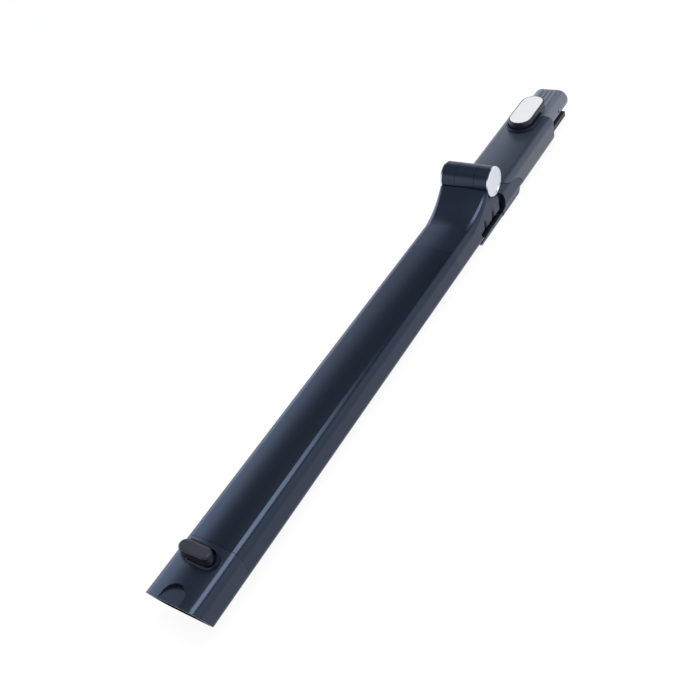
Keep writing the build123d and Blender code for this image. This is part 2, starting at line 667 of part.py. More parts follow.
LIP_RISE = Z_PIVOT - Z_TOP
NECK_LENGTH = sqrt(LIP_RISE * (2 * NECK_RADIUS - LIP_RISE))
X_LIP = X_PIVOT - BARREL_RADIUS - CREVICE
X_NECK = X_LIP - NECK_LENGTH
NECK_CORE = 1 - KNEE_WALL / NECK_LENGTH
X_FLOOR_END = X_PIVOT + FLOOR_END
OUTER_KNUCKLE = (BARREL_LENGTH - MIDDLE_KNUCKLE) / 2 - KNUCKLE_GAP
X_LEVER_PIVOT = X_PIVOT - LEVER_PIVOT_BACK
Z_LEVER_PIVOT = Z_UNDER - LEVER_PIVOT_DROP
with BuildPart() as knee_lower_housing:
    extrude(section(X_KNEE), amount=X_NECK - X_KNEE)
    chamfer(knee_lower_housing.faces().sort_by(Axis.X)[0].edges(), SEAM_BEVEL)
    loft([neck_section(step / NECK_STEPS) for step in range(NECK_STEPS + 1)])
    extrude(section(X_LIP), amount=X_FLOOR_END - X_LIP)
    extrude(
        section(X_LIP, rise=LIP_RISE - CREVICE_DEPTH, corner=LIP_CORNER, crown=LIP_CROWN_RADIUS),
        amount=BARREL_RADIUS,
    )
    extrude(section(X_KNEE, TENON_INSET), amount=-TENON_LENGTH)
    extrude(section(X_KNEE, KNEE_WALL), amount=X_FLOOR_END + WIDTH - X_KNEE, mode=Mode.SUBTRACT)
    loft(
        [neck_section(NECK_CORE * step / NECK_STEPS, KNEE_WALL) for step in range(NECK_STEPS + 1)],
        mode=Mode.SUBTRACT,
    )
    extrude(section(X_KNEE, TENON_BORE), amount=-TENON_LENGTH, mode=Mode.SUBTRACT)
    with Locations((X_KNEE - TENON_LENGTH / 2, WEB_Y, Z_MID)):
        Box(TENON_LENGTH, WEB_THICKNESS + 2 * SLIP, HEIGHT, mode=Mode.SUBTRACT)
    with BuildSketch(Plane.XZ):
        with BuildLine():
            window_floor = Line(
                (X_PIVOT + BARREL_RADIUS, Z_UNDER + WINDOW_LOW),
                (X_PIVOT - WINDOW_ROUND, Z_UNDER + WINDOW_LOW),
            )
            window_tip = ThreePointArc(
                window_floor @ 1,
                (X_PIVOT - WINDOW_TIP, Z_UNDER + (WINDOW_LOW + WINDOW_HIGH) / 2),
                (X_PIVOT - WINDOW_ROUND, Z_UNDER + WINDOW_HIGH),
            )
            window_brow = Line(window_tip @ 1, (X_PIVOT - WINDOW_BROW, Z_UNDER + WINDOW_HIGH))
            window_front = TangentArc(
                window_brow @ 1, (X_PIVOT - WINDOW_FRONT, Z_TOP + BARREL_GAP / 2), tangent=window_brow % 1
            )
            Polyline(
                window_front @ 1, (X_PIVOT + BARREL_RADIUS, Z_TOP + BARREL_GAP / 2), window_floor @ 0
            )
        make_face()
    extrude(amount=WIDTH, both=True, mode=Mode.SUBTRACT)
    with Locations(*pair(X_PIVOT, BARREL_LENGTH + CAP_THICKNESS, Z_PIVOT)):
        Cylinder(BARREL_RADIUS + CAP_PLAY, CAP_THICKNESS, rotation=(90, 0, 0), mode=Mode.SUBTRACT)
    with Locations(*pair(X_PIVOT, BARREL_LENGTH - OUTER_KNUCKLE, Z_PIVOT)):
        Cylinder(BARREL_RADIUS, OUTER_KNUCKLE, rotation=(90, 0, 0))
    with BuildSketch(Plane.XZ):
        with Locations((X_PIVOT, Z_PIVOT)):
            Circle(BARREL_RADIUS + CREVICE)
            Circle(BARREL_RADIUS, mode=Mode.SUBTRACT)
        with Locations((X_PIVOT - BARREL_RADIUS, Z_PIVOT)):
            Rectangle(BARREL_RADIUS, 2 * CREVICE_DEPTH, mode=Mode.INTERSECT)
    extrude(amount=WIDTH, both=True, mode=Mode.SUBTRACT)
    with Locations((X_PIVOT, 0, Z_PIVOT)):
        Cylinder(
            BARREL_RADIUS + SWING_GAP,
            MIDDLE_KNUCKLE + 2 * KNUCKLE_GAP,
            rotation=(90, 0, 0),
            mode=Mode.SUBTRACT,
        )
        Cylinder(HINGE_PIN_RADIUS, BARREL_LENGTH, rotation=(90, 0, 0), mode=Mode.SUBTRACT)
    with Locations(*pair(X_PIVOT, BARREL_LENGTH, Z_PIVOT)):
        Cylinder(CAP_BOSS_RADIUS, 2 * CAP_BOSS_DEPTH, rotation=(90, 0, 0), mode=Mode.SUBTRACT)
    with Locations(*pair(X_LEVER_PIVOT, LUG_SPAN, Z_UNDER)):
        Box(LUG_LENGTH, LUG_WIDTH, LUG_DROP, align=(Align.CENTER, Align.CENTER, Align.MAX))
    with Locations((X_LEVER_PIVOT, 0, Z_LEVER_PIVOT)):
        Cylinder(LEVER_PIN_RADIUS, LEVER_PIN_LENGTH, rotation=(90, 0, 0), mode=Mode.SUBTRACT)
    with Locations((X_PIVOT - LEVER_SPRING_BACK, 0, Z_UNDER)):
        Cylinder(LEVER_SPRING_RADIUS + SEAM_GAP, 2 * SPRING_RECESS, mode=Mode.SUBTRACT)
    with Locations(*pair(SCREW_X["knee_screws"], SCREW_SPREAD, Z_UNDER)):
        Cylinder(SCREW_RADIUS, 2 * SCREW_LENGTH, mode=Mode.SUBTRACT)
knee_lower_housing.part.label = "knee_lower_housing"
export_step(knee_lower_housing.part, "parts/knee_lower_housing.step")

# Hinge pin: steel, pressed into the outer knuckles
with BuildPart() as hinge_pin:
    with Locations((X_PIVOT, 0, Z_PIVOT)):
        Cylinder(HINGE_PIN_RADIUS, BARREL_LENGTH - 2 * CAP_BOSS_DEPTH, rotation=(90, 0, 0))
hinge_pin.part.label = "hinge_pin"
export_step(hinge_pin.part, "parts/hinge_pin.step")

# Hinge caps and bushes, one of each at either end; left is the side of high Y
for side, sign in (("left", 1), ("right", -1)):
    outward = Plane(origin=(X_PIVOT, sign * BARREL_LENGTH / 2, Z_PIVOT), z_dir=(0, sign, 0))
    with BuildPart() as cap:
        with BuildSketch(outward):
            Circle(BARREL_RADIUS)
        extrude(amount=CAP_THICKNESS)
        chamfer(cap.faces().sort_by(Axis.Y)[-1 if sign > 0 else 0].edges(), CAP_BEVEL)
        with BuildSketch(outward.offset(CAP_THICKNESS)):
            Circle(CAP_FACE_RADIUS)
        extrude(amount=-CAP_FACE_DEPTH, mode=Mode.SUBTRACT)
        with BuildSketch(outward):
            Circle(CAP_BOSS_RADIUS)
        extrude(amount=-CAP_BOSS_DEPTH)
    cap.part.label = f"hinge_cap_{side}"
    export_step(cap.part, f"parts/hinge_cap_{side}.step")

    knuckle_end = Plane(origin=(X_PIVOT, sign * MIDDLE_KNUCKLE / 2, Z_PIVOT), z_dir=(0, sign, 0))
    with BuildPart() as bush:
        with BuildSketch(knuckle_end):
            Circle(BUSH_RADIUS)
        extrude(amount=-BUSH_LENGTH)
        with BuildSketch(knuckle_end):
            Circle(BUSH_FLANGE_RADIUS)
        extrude(amount=-BUSH_FLANGE)
        with BuildSketch(knuckle_end):
            Circle(HINGE_PIN_RADIUS + RUNNING)
        extrude(amount=-BUSH_LENGTH, mode=Mode.SUBTRACT)
    bush.part.label = f"hinge_bush_{side}"
    export_step(bush.part, f"parts/hinge_bush_{side}.step")

# Bellows hose: folded rubber oval across the knee, a crest at every pitch back from the pivot
CREST_LENGTH = FOLD_PITCH - FOLD_GROOVE
crests = int((X_PIVOT + FIRST_CREST - X_CUFF - CUFF_LENGTH - CREST_LENGTH / 2) // FOLD_PITCH) + 1
CREST_STARTS = [X_PIVOT + FIRST_CREST - n * FOLD_PITCH - CREST_LENGTH / 2 for n in range(crests)]
with BuildPart() as bellows_hose:
    for x in CREST_STARTS:
        extrude(fold(x, 0, HOSE_CORNER), amount=CREST_LENGTH)
    chamfer(bellows_hose.edges().filter_by(lambda edge: abs(edge.tangent_at(0.5).X) < 0.5), FOLD_BEVEL)
    extrude(fold(X_CUFF, FOLD_DEPTH, ROOT_CORNER), amount=X_DUCT - X_CUFF)
    for x in CREST_STARTS:
        extrude(
            fold(x + HOSE_WALL, HOSE_WALL, HOSE_CORNER - HOSE_WALL),
            amount=CREST_LENGTH - 2 * HOSE_WALL,
            mode=Mode.SUBTRACT,
        )
    extrude(
        fold(X_CUFF, FOLD_DEPTH + HOSE_WALL, ROOT_CORNER - HOSE_WALL),
        amount=X_DUCT - X_CUFF,
        mode=Mode.SUBTRACT,
    )
bellows_hose.part.label = "bellows_hose"
export_step(bellows_hose.part, "parts/bellows_hose.step")

# Hose cuffs: rings that seat the hose in the lower housing and in the yoke
cuffs = {
    "hose_cuff_lower": (X_CUFF, KNEE_WALL + CUFF_PLAY),
    "hose_cuff_upper": (X_HOSE_END, YOKE_BORE + CUFF_PLAY),
}
for name, (x, inset) in cuffs.items():
    with BuildPart() as cuff:
        extrude(section(x, inset), amount=CUFF_LENGTH)
        extrude(fold(x, FOLD_DEPTH, ROOT_CORNER), amount=CUFF_LENGTH, mode=Mode.SUBTRACT)
    cuff.part.label = name
    export_step(cuff.part, f"parts/{name}.step")

# Bend release lever: rocks on a pin under the neck, its catch reaches towards the keeper
X_LEVER = X_PIVOT - LEVER_START
X_LEVER_END = X_PIVOT + LEVER_END
lever_axis = Axis((X_LEVER_PIVOT, 0, Z_LEVER_PIVOT), (0, 1, 0))
with BuildPart(mode=Mode.PRIVATE) as lever_space:
    extrude(section(X_LEVER - WIDTH, -LEVER_GAP), amount=X_LEVER_END + 2 * WIDTH - X_LEVER)
pressed_space = lever_space.part.rotate(lever_axis, -LEVER_ANGLE)
with BuildPart() as bend_release_lever:
    extrude(strip(X_LEVER, LEVER_LIFT), amount=X_LEVER_END - X_LEVER)
    with BuildSketch(Plane.XZ):
        with BuildLine():
            Polyline(
                (X_LEVER, LEVER_LIFT),
                (X_LEVER + LEVER_BEVEL, LEVER_LIFT),
                (X_LEVER, Z_UNDER + STRIP_TOP),
                close=True,
            )
        make_face()
    extrude(amount=WIDTH, both=True, mode=Mode.SUBTRACT)
    add(lever_space.part, mode=Mode.SUBTRACT)
    add(pressed_space, mode=Mode.SUBTRACT)
    with Locations(*pair(X_LEVER_PIVOT, LUG_SPAN, Z_UNDER)):
        Box(LUG_LENGTH + 4 * LUG_PLAY, LUG_WIDTH + 2 * LUG_PLAY, HEIGHT, mode=Mode.SUBTRACT)
    with Locations((X_LEVER_END, 0, LEVER_LIFT)):
        Box(CATCH_LENGTH, CATCH_WIDTH, CATCH_THICKNESS, align=(Align.MIN, Align.CENTER, Align.MIN))
    with Locations((X_LEVER_END + CATCH_LENGTH, 0, LEVER_LIFT)):
        Box(
            CATCH_TOOTH_LENGTH,
            CATCH_WIDTH,
            CATCH_THICKNESS + CATCH_TOOTH,
            align=(Align.MAX, Align.CENTER, Align.MIN),
        )
    with Locations((X_LEVER_PIVOT, 0, Z_LEVER_PIVOT)):
        Cylinder(
            LEVER_PIN_RADIUS + RUNNING,
            LEVER_PIN_LENGTH + 2 * LEVER_PIN_PLAY,
            rotation=(90, 0, 0),
            mode=Mode.SUBTRACT,
        )
    with Locations((X_PIVOT - LEVER_SPRING_BACK, 0, LEVER_LIFT + LEVER_SEAT)):
        Cylinder(
            LEVER_SPRING_RADIUS + SEAM_GAP,
            STRIP_DROP,
            align=(Align.CENTER, Align.CENTER, Align.MIN),
            mode=Mode.SUBTRACT,
        )
bend_release_lever.part.label = "bend_release_lever"
export_step(bend_release_lever.part, "parts/bend_release_lever.step")

# Bend lever pin: steel, pressed into the two lugs of the lower housing
with BuildPart() as bend_lever_pin:
    with Locations((X_LEVER_PIVOT, 0, Z_LEVER_PIVOT)):
        Cylinder(LEVER_PIN_RADIUS, LEVER_PIN_LENGTH, rotation=(90, 0, 0))
bend_lever_pin.part.label = "bend_lever_pin"
export_step(bend_lever_pin.part, "parts/bend_lever_pin.step")

# Knee upper yoke: scalloped front, middle knuckle on an arm, and a tenon inside the upper shell
X_YOKE = X_PIVOT + YOKE_FRONT
with BuildPart() as knee_upper_yoke:
    extrude(section(X_YOKE), amount=SEAM_END + WIDTH)
    extrude(seam_side(0), amount=WIDTH, both=True, mode=Mode.INTERSECT)
    extrude(
        section(X_PIVOT + YOKE_TENON_START, YOKE_TENON_INSET), amount=YOKE_TENON_END - YOKE_TENON_START
    )
    extrude(section(X_YOKE, YOKE_BORE), amount=YOKE_TENON_END, mode=Mode.SUBTRACT)
    extrude(section(X_YOKE, KNEE_WALL), amount=YOKE_FRONT_BORE, mode=Mode.SUBTRACT)
    with Locations((X_PIVOT - YOKE_SCALLOP_BACK, 0, Z_TOP - YOKE_SCALLOP_DROP)):
        Cylinder(YOKE_SCALLOP_RADIUS, BEYOND, rotation=(90, 0, 0), mode=Mode.SUBTRACT)
    with BuildSketch(Plane.XZ):
        with BuildLine():
            Polyline(
                (X_PIVOT + ARM_BACK, Z_TOP - KNEE_WALL / 2),
                (X_PIVOT + ARM_FRONT, Z_TOP - KNEE_WALL / 2),
                (X_PIVOT + ARM_FRONT, Z_PIVOT - BARREL_RADIUS / 2),
                (X_PIVOT, Z_PIVOT),
                close=True,
            )
        make_face()
    extrude(amount=MIDDLE_KNUCKLE / 2, both=True)
    with Locations((X_PIVOT, 0, Z_PIVOT)):
        Cylinder(BARREL_RADIUS, MIDDLE_KNUCKLE, rotation=(90, 0, 0))
        Cylinder(BUSH_RADIUS, MIDDLE_KNUCKLE, rotation=(90, 0, 0), mode=Mode.SUBTRACT)
    with Locations(*pair(X_PIVOT, MIDDLE_KNUCKLE, Z_PIVOT)):
        Cylinder(BUSH_FLANGE_RADIUS, 2 * BUSH_FLANGE, rotation=(90, 0, 0), mode=Mode.SUBTRACT)
    with Locations(*pair(SCREW_X["upper_screws"], SCREW_SPREAD, Z_UNDER)):
        Cylinder(SCREW_RADIUS, 2 * SCREW_LENGTH, mode=Mode.SUBTRACT)
knee_upper_yoke.part.label = "knee_upper_yoke"
export_step(knee_upper_yoke.part, "parts/knee_upper_yoke.step")

# Bend keeper: the rest of the strip, glued below the yoke, with a lip for the lever's catch
X_KEEPER = X_PIVOT + KEEPER_START
with BuildPart() as bend_keeper:
    extrude(strip(X_KEEPER, 0), amount=KEEPER_END - KEEPER_START)
    with BuildSketch(Plane.XZ):
        with BuildLine():
            Polyline(
                (X_PIVOT + KEEPER_END, 0),
                (X_PIVOT + KEEPER_END - LEVER_BEVEL, 0),
                (X_PIVOT + KEEPER_END, Z_UNDER + STRIP_TOP),
                close=True,
            )
        make_face()
    extrude(amount=WIDTH, both=True, mode=Mode.SUBTRACT)
    extrude(section(X_KEEPER - WIDTH), amount=BEYOND + KEEPER_END, mode=Mode.SUBTRACT)
    with Locations((X_KEEPER + KEEPER_LIP_LENGTH, 0, 0)):
        Box(
            KEEPER_ROOM_LENGTH - KEEPER_LIP_LENGTH,
            CATCH_WIDTH + 2 * CATCH_PLAY,
            KEEPER_ROOM,
            align=(Align.MIN, Align.CENTER, Align.MIN),
            mode=Mode.SUBTRACT,
        )
    with Locations((X_KEEPER, 0, 0)):
        Box(
            2 * KEEPER_LIP_LENGTH,
            CATCH_WIDTH + 2 * CATCH_PLAY,
            KEEPER_LIP,
            align=(Align.CENTER, Align.CENTER, Align.MIN),
            mode=Mode.SUBTRACT,
        )
bend_keeper.part.label = "bend_keeper"
export_step(bend_keeper.part, "parts/bend_keeper.step")

# Upper shell: sleeve from the S-shaped seam to the step, with the button's opening and bezel
X_WAND_BUTTON = X_STEP - WAND_BUTTON_BACK
Z_WAND_PIVOT = Z_TOP - WAND_PIVOT_DROP
Z_SPIGOT = Z_UNDER + SPIGOT_RISE
OPENING_LENGTH = WAND_BUTTON_LENGTH + WAND_BUTTON_SWAY + WAND_BUTTON_PLAY
OPENING_WIDTH = WAND_BUTTON_WIDTH + 2 * WAND_BUTTON_PLAY
X_OPENING = X_WAND_BUTTON - WAND_BUTTON_SWAY / 2
WAND_PIN_LENGTH = 2 * (BOSS_INNER + BOSS_WIDTH)
Z_UPPER_LEAD = Z_UNDER + UPPER_LEAD_RISE
with BuildPart() as upper_shell:
    extrude(section(X_YOKE), amount=X_STEP - X_YOKE)
    fillet(upper_shell.faces().sort_by(Axis.X)[-1].edges(), STEP_ROUND)
    extrude(seam_side(SEAM_LINE), amount=WIDTH, both=True, mode=Mode.SUBTRACT)
    extrude(section(X_YOKE, SHELL_WALL), amount=X_STEP - END_WALL - X_YOKE, mode=Mode.SUBTRACT)
    with Locations(*pair(X_WAND_PIVOT, 2 * BOSS_INNER + BOSS_WIDTH, Z_TOP - SHELL_WALL)):
        Box(
            BOSS_LENGTH,
            BOSS_WIDTH,
            WAND_PIVOT_DROP + WAND_EAR_RADIUS - SHELL_WALL,
            align=(Align.CENTER, Align.CENTER, Align.MAX),
        )
    with Locations((X_WAND_PIVOT, 0, Z_WAND_PIVOT)):
        Cylinder(WAND_PIN_RADIUS, WAND_PIN_LENGTH, rotation=(90, 0, 0), mode=Mode.SUBTRACT)
    with BuildSketch(Plane.YZ.offset(X_FLANGE)):
        with Locations((UPPER_LEAD_Y, Z_UPPER_LEAD)):
            Circle(UPPER_LEAD_DIAMETER / 2 + SPIGOT_PLAY)
    extrude(amount=WIDTH, mode=Mode.SUBTRACT)
    with Locations(*pair(SCREW_X["upper_screws"], SCREW_SPREAD, Z_UNDER)):
        Cylinder(SCREW_RADIUS, 2 * SCREW_LENGTH, mode=Mode.SUBTRACT)
    extrude(
        oval(X_FLANGE, SPIGOT_WIDTH + 2 * SPIGOT_PLAY, SPIGOT_HEIGHT + 2 * SPIGOT_PLAY, Z_SPIGOT),
        amount=WIDTH,
        mode=Mode.SUBTRACT,
    )
    extrude(
        pill(X_OPENING, Z_TOP - 2 * SHELL_WALL, OPENING_LENGTH, OPENING_WIDTH),
        amount=HEIGHT,
        mode=Mode.SUBTRACT,
    )
upper_shell.part.label = "upper_shell"
export_step(upper_shell.part, "parts/upper_shell.step")

# Wand button bezel: black ring glued around the opening, cut off at the step
with BuildPart() as wand_button_bezel:
    extrude(
        pill(
            X_OPENING,
            Z_TOP - SHELL_WALL,
            OPENING_LENGTH + 2 * WAND_BEZEL_WALL,
            OPENING_WIDTH + 2 * WAND_BEZEL_WALL,
        ),
        amount=SHELL_WALL + WAND_BEZEL_RISE,
    )
    extrude(
        pill(X_OPENING, Z_TOP - SHELL_WALL, OPENING_LENGTH, OPENING_WIDTH), amount=HEIGHT, mode=Mode.SUBTRACT
    )
    split(bisect_by=Plane.YZ.offset(X_STEP - STEP_ROUND), keep=Keep.BOTTOM)
    extrude(section(X_YOKE), amount=X_STEP - X_YOKE, mode=Mode.SUBTRACT)
wand_button_bezel.part.label = "wand_button_bezel"
export_step(wand_button_bezel.part, "parts/wand_button_bezel.step")

# Upper duct: rigid oval pipe from the hose to the spigot
with BuildPart() as upper_duct:
    loft([
        oval(X_DUCT, DUCT_WIDTH, DUCT_HEIGHT, Z_MID),
        oval(X_FLANGE, DUCT_END_WIDTH, DUCT_END_HEIGHT, Z_UNDER + DUCT_END_RISE),
    ])
    loft(
        [
            oval(X_DUCT, DUCT_WIDTH - 2 * DUCT_WALL, DUCT_HEIGHT - 2 * DUCT_WALL, Z_MID),
            oval(
                X_FLANGE,
                DUCT_END_WIDTH - 2 * DUCT_WALL,
                DUCT_END_HEIGHT - 2 * DUCT_WALL,
                Z_UNDER + DUCT_END_RISE,
            ),
        ],
        mode=Mode.SUBTRACT,
    )
upper_duct.part.label = "upper_duct"
export_step(upper_duct.part, "parts/upper_duct.step")

# Vacuum spigot: ridged oval that plugs into the vacuum, held by a flange behind the end wall
X_BLEND = X_FLANGE + SPIGOT_BLEND
BORE_WIDTH = SPIGOT_WIDTH - 2 * SPIGOT_WALL
BORE_HEIGHT = SPIGOT_HEIGHT - 2 * SPIGOT_WALL
RIDGE_LENGTH = SPIGOT_LENGTH - 2 * RIDGE_INSET
with BuildPart() as vacuum_spigot:
    extrude(oval(X_FLANGE, SPIGOT_WIDTH, SPIGOT_HEIGHT, Z_SPIGOT), amount=X_TIP - X_FLANGE)
    fillet(vacuum_spigot.faces().sort_by(Axis.X)[-1].edges(), SPIGOT_EDGE)
    extrude(
        oval(X_FLANGE, SPIGOT_WIDTH + 2 * FLANGE_MARGIN, SPIGOT_HEIGHT + 2 * FLANGE_MARGIN, Z_SPIGOT),
        amount=FLANGE_THICKNESS,
    )
    with Locations((X_STEP + SPIGOT_LENGTH / 2, 0, Z_SPIGOT + SPIGOT_HEIGHT / 2)):
        with GridLocations(RIDGE_LENGTH, RIDGE_PITCH, 1, RIDGE_COUNT):
            Box(RIDGE_LENGTH, RIDGE_WIDTH, 2 * RIDGE_HEIGHT)
    loft(
        [
            oval(
                X_FLANGE,
                DUCT_END_WIDTH - 2 * DUCT_WALL,
                DUCT_END_HEIGHT - 2 * DUCT_WALL,
                Z_UNDER + DUCT_END_RISE,
            ),
            oval(X_BLEND, BORE_WIDTH, BORE_HEIGHT, Z_SPIGOT),
        ],
        mode=Mode.SUBTRACT,
    )
    extrude(oval(X_BLEND, BORE_WIDTH, BORE_HEIGHT, Z_SPIGOT), amount=X_TIP - X_BLEND, mode=Mode.SUBTRACT)
    with Locations(*pair(X_STEP + DIMPLE_REACH, SPIGOT_WIDTH, Z_SPIGOT)):
        Cylinder(DIMPLE_RADIUS, 2 * DIMPLE_DEPTH, rotation=(90, 0, 0), mode=Mode.SUBTRACT)
vacuum_spigot.part.label = "vacuum_spigot"
export_step(vacuum_spigot.part, "parts/vacuum_spigot.step")

# Plug block and blades: the supply from the vacuum, on a shelf below the spigot
X_PLUG_END = X_STEP + PLUG_REACH
Z_PLUG_BLADE = Z_UNDER + (PLUG_LOW + SPIGOT_RISE - SPIGOT_HEIGHT / 2) / 2
with BuildPart() as plug_block:
    with Locations((X_STEP, 0, Z_UNDER + PLUG_LOW)):
        Box(PLUG_REACH, PLUG_WIDTH, PLUG_HIGH - PLUG_LOW, align=(Align.MIN, Align.CENTER, Align.MIN))
    fillet(plug_block.edges().filter_by(Axis.X).group_by(Axis.Z)[0], PLUG_EDGE)
    extrude(oval(X_STEP, SPIGOT_WIDTH, SPIGOT_HEIGHT, Z_SPIGOT), amount=SPIGOT_LENGTH, mode=Mode.SUBTRACT)
    with Locations(*pair(X_PLUG_END, PLUG_BLADE_SPREAD, Z_PLUG_BLADE)):
        Box(2 * BLADE_SEAT, BLADE_WIDTH, BLADE_THICKNESS, mode=Mode.SUBTRACT)
plug_block.part.label = "plug_block"
export_step(plug_block.part, "parts/plug_block.step")

with BuildPart() as plug_blades:
    with Locations(*pair(X_PLUG_END - BLADE_SEAT, PLUG_BLADE_SPREAD, Z_PLUG_BLADE)):
        Box(BLADE_LENGTH, BLADE_WIDTH, BLADE_THICKNESS, align=(Align.MIN, Align.CENTER, Align.CENTER))
plug_blades.part.label = "plug_blades"
export_step(plug_blades.part, "parts/plug_blades.step")

# Upper lead: straight below the duct, from the upper cuff through the end wall to the plug block
with BuildPart() as upper_lead:
    with BuildSketch(Plane.YZ.offset(X_DUCT)):
        with Locations((UPPER_LEAD_Y, Z_UPPER_LEAD)):
            Circle(UPPER_LEAD_DIAMETER / 2)
    extrude(amount=X_STEP - X_DUCT)
upper_lead.part.label = "upper_lead"
export_step(upper_lead.part, "parts/upper_lead.step")

# Wand latch: rocking plate on two ears, with a nose over the spigot that hooks the vacuum
X_NOSE = X_WAND_BUTTON + WAND_PLATE_LENGTH / 2 - NOSE_LENGTH
with BuildPart() as wand_latch:
    extrude(pill(X_WAND_BUTTON, Z_WAND_PLATE, WAND_PLATE_LENGTH, WAND_PLATE_WIDTH), amount=-WAND_PLATE)
    with Locations(*pair(X_WAND_PIVOT, WAND_EAR_SPAN, Z_WAND_PIVOT)):
        Box(
            2 * WAND_EAR_RADIUS,
            WAND_EAR_WIDTH,
            Z_WAND_PLATE - WAND_PLATE - Z_WAND_PIVOT,
            align=(Align.CENTER, Align.CENTER, Align.MIN),
        )
        Cylinder(WAND_EAR_RADIUS, WAND_EAR_WIDTH, rotation=(90, 0, 0))
    with Locations((X_WAND_PIVOT, 0, Z_WAND_PIVOT)):
        Cylinder(WAND_PIN_RADIUS + RUNNING, WIDTH, rotation=(90, 0, 0), mode=Mode.SUBTRACT)
    with BuildSketch(Plane.XZ):
        with BuildLine():
            Polyline(
                (X_NOSE, Z_WAND_PLATE - WAND_PLATE),
                (X_NOSE, Z_WAND_PLATE - WAND_PLATE - NOSE_DROP),
                (X_NOSE + NOSE_LENGTH, Z_WAND_PLATE - WAND_PLATE),
                close=True,
            )
        make_face()
    extrude(amount=NOSE_WIDTH / 2, both=True)
wand_latch.part.label = "wand_latch"
export_step(wand_latch.part, "parts/wand_latch.step")

# Wand release button: black hollow pill clipped over the latch
Z_WAND_CAP = Z_TOP + WAND_BUTTON_LOW
Z_WAND_BUTTON = Z_TOP + WAND_BUTTON_RISE
with BuildPart() as wand_release_button:
    extrude(
        pill(X_WAND_BUTTON, Z_WAND_CAP, WAND_BUTTON_LENGTH, WAND_BUTTON_WIDTH),
        amount=Z_WAND_BUTTON - Z_WAND_CAP,
    )
    fillet(wand_release_button.faces().sort_by(Axis.Z)[-1].edges(), GROOVE_DEPTH)
    extrude(
        pill(
            X_WAND_BUTTON,
            Z_WAND_CAP,
            WAND_BUTTON_LENGTH - 2 * WAND_BUTTON_WALL,
            WAND_BUTTON_WIDTH - 2 * WAND_BUTTON_WALL,
        ),
        amount=WAND_BUTTON_ROOM,
        mode=Mode.SUBTRACT,
    )
    extrude(
        pill(
            X_WAND_BUTTON,
            Z_WAND_BUTTON,
            WAND_BUTTON_LENGTH - 2 * PLATE_MARGIN,
            WAND_BUTTON_WIDTH - 2 * PLATE_MARGIN,
        ),
        amount=PLATE_PROUD - PLATE_THICKNESS,
        mode=Mode.SUBTRACT,
    )
    extrude(
        pill_groove(
            X_WAND_BUTTON,
            Z_TOP + WAND_BEZEL_RISE + 2 * GROOVE_WIDTH,
            WAND_BUTTON_LENGTH,
            WAND_BUTTON_WIDTH,
        ),
        amount=GROOVE_WIDTH,
        mode=Mode.SUBTRACT,
    )
wand_release_button.part.label = "wand_release_button"
export_step(wand_release_button.part, "parts/wand_release_button.step")

# Wand button plate: bright metal inlay
with BuildPart() as wand_button_plate:
    extrude(
        pill(
            X_WAND_BUTTON,
            Z_WAND_BUTTON + PLATE_PROUD - PLATE_THICKNESS,
            WAND_BUTTON_LENGTH - 2 * PLATE_MARGIN,
            WAND_BUTTON_WIDTH - 2 * PLATE_MARGIN,
        ),
        amount=PLATE_THICKNESS,
    )
wand_button_plate.part.label = "wand_button_plate"
export_step(wand_button_plate.part, "parts/wand_button_plate.step")

# Wand latch pin: steel, pressed into the two bosses below the upper shell's roof
with BuildPart() as wand_latch_pin:
    with Locations((X_WAND_PIVOT, 0, Z_WAND_PIVOT)):
        Cylinder(WAND_PIN_RADIUS, WAND_PIN_LENGTH, rotation=(90, 0, 0))
wand_latch_pin.part.label = "wand_latch_pin"
export_step(wand_latch_pin.part, "parts/wand_latch_pin.step")

# Screws: a pair of pan heads from below at each tenon
for name, x in SCREW_X.items():
    with BuildPart() as screws:
        with Locations(*pair(x, SCREW_SPREAD, Z_UNDER)):
            Cylinder(SCREW_RADIUS, SCREW_LENGTH, align=(Align.CENTER, Align.CENTER, Align.MIN))
            Cylinder(
                SCREW_HEAD_RADIUS, SCREW_HEAD_HEIGHT, align=(Align.CENTER, Align.CENTER, Align.MAX)
            )
    screws.part.label = name
    export_step(screws.part, f"parts/{name}.step")
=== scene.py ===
# A bending vacuum wand that lies on a white table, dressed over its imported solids.
# Metres throughout: X runs along the wand to the vacuum end, Z is up, and the hinge is on top.
import json

import bpy
import numpy as np
from mathutils import Matrix, Vector


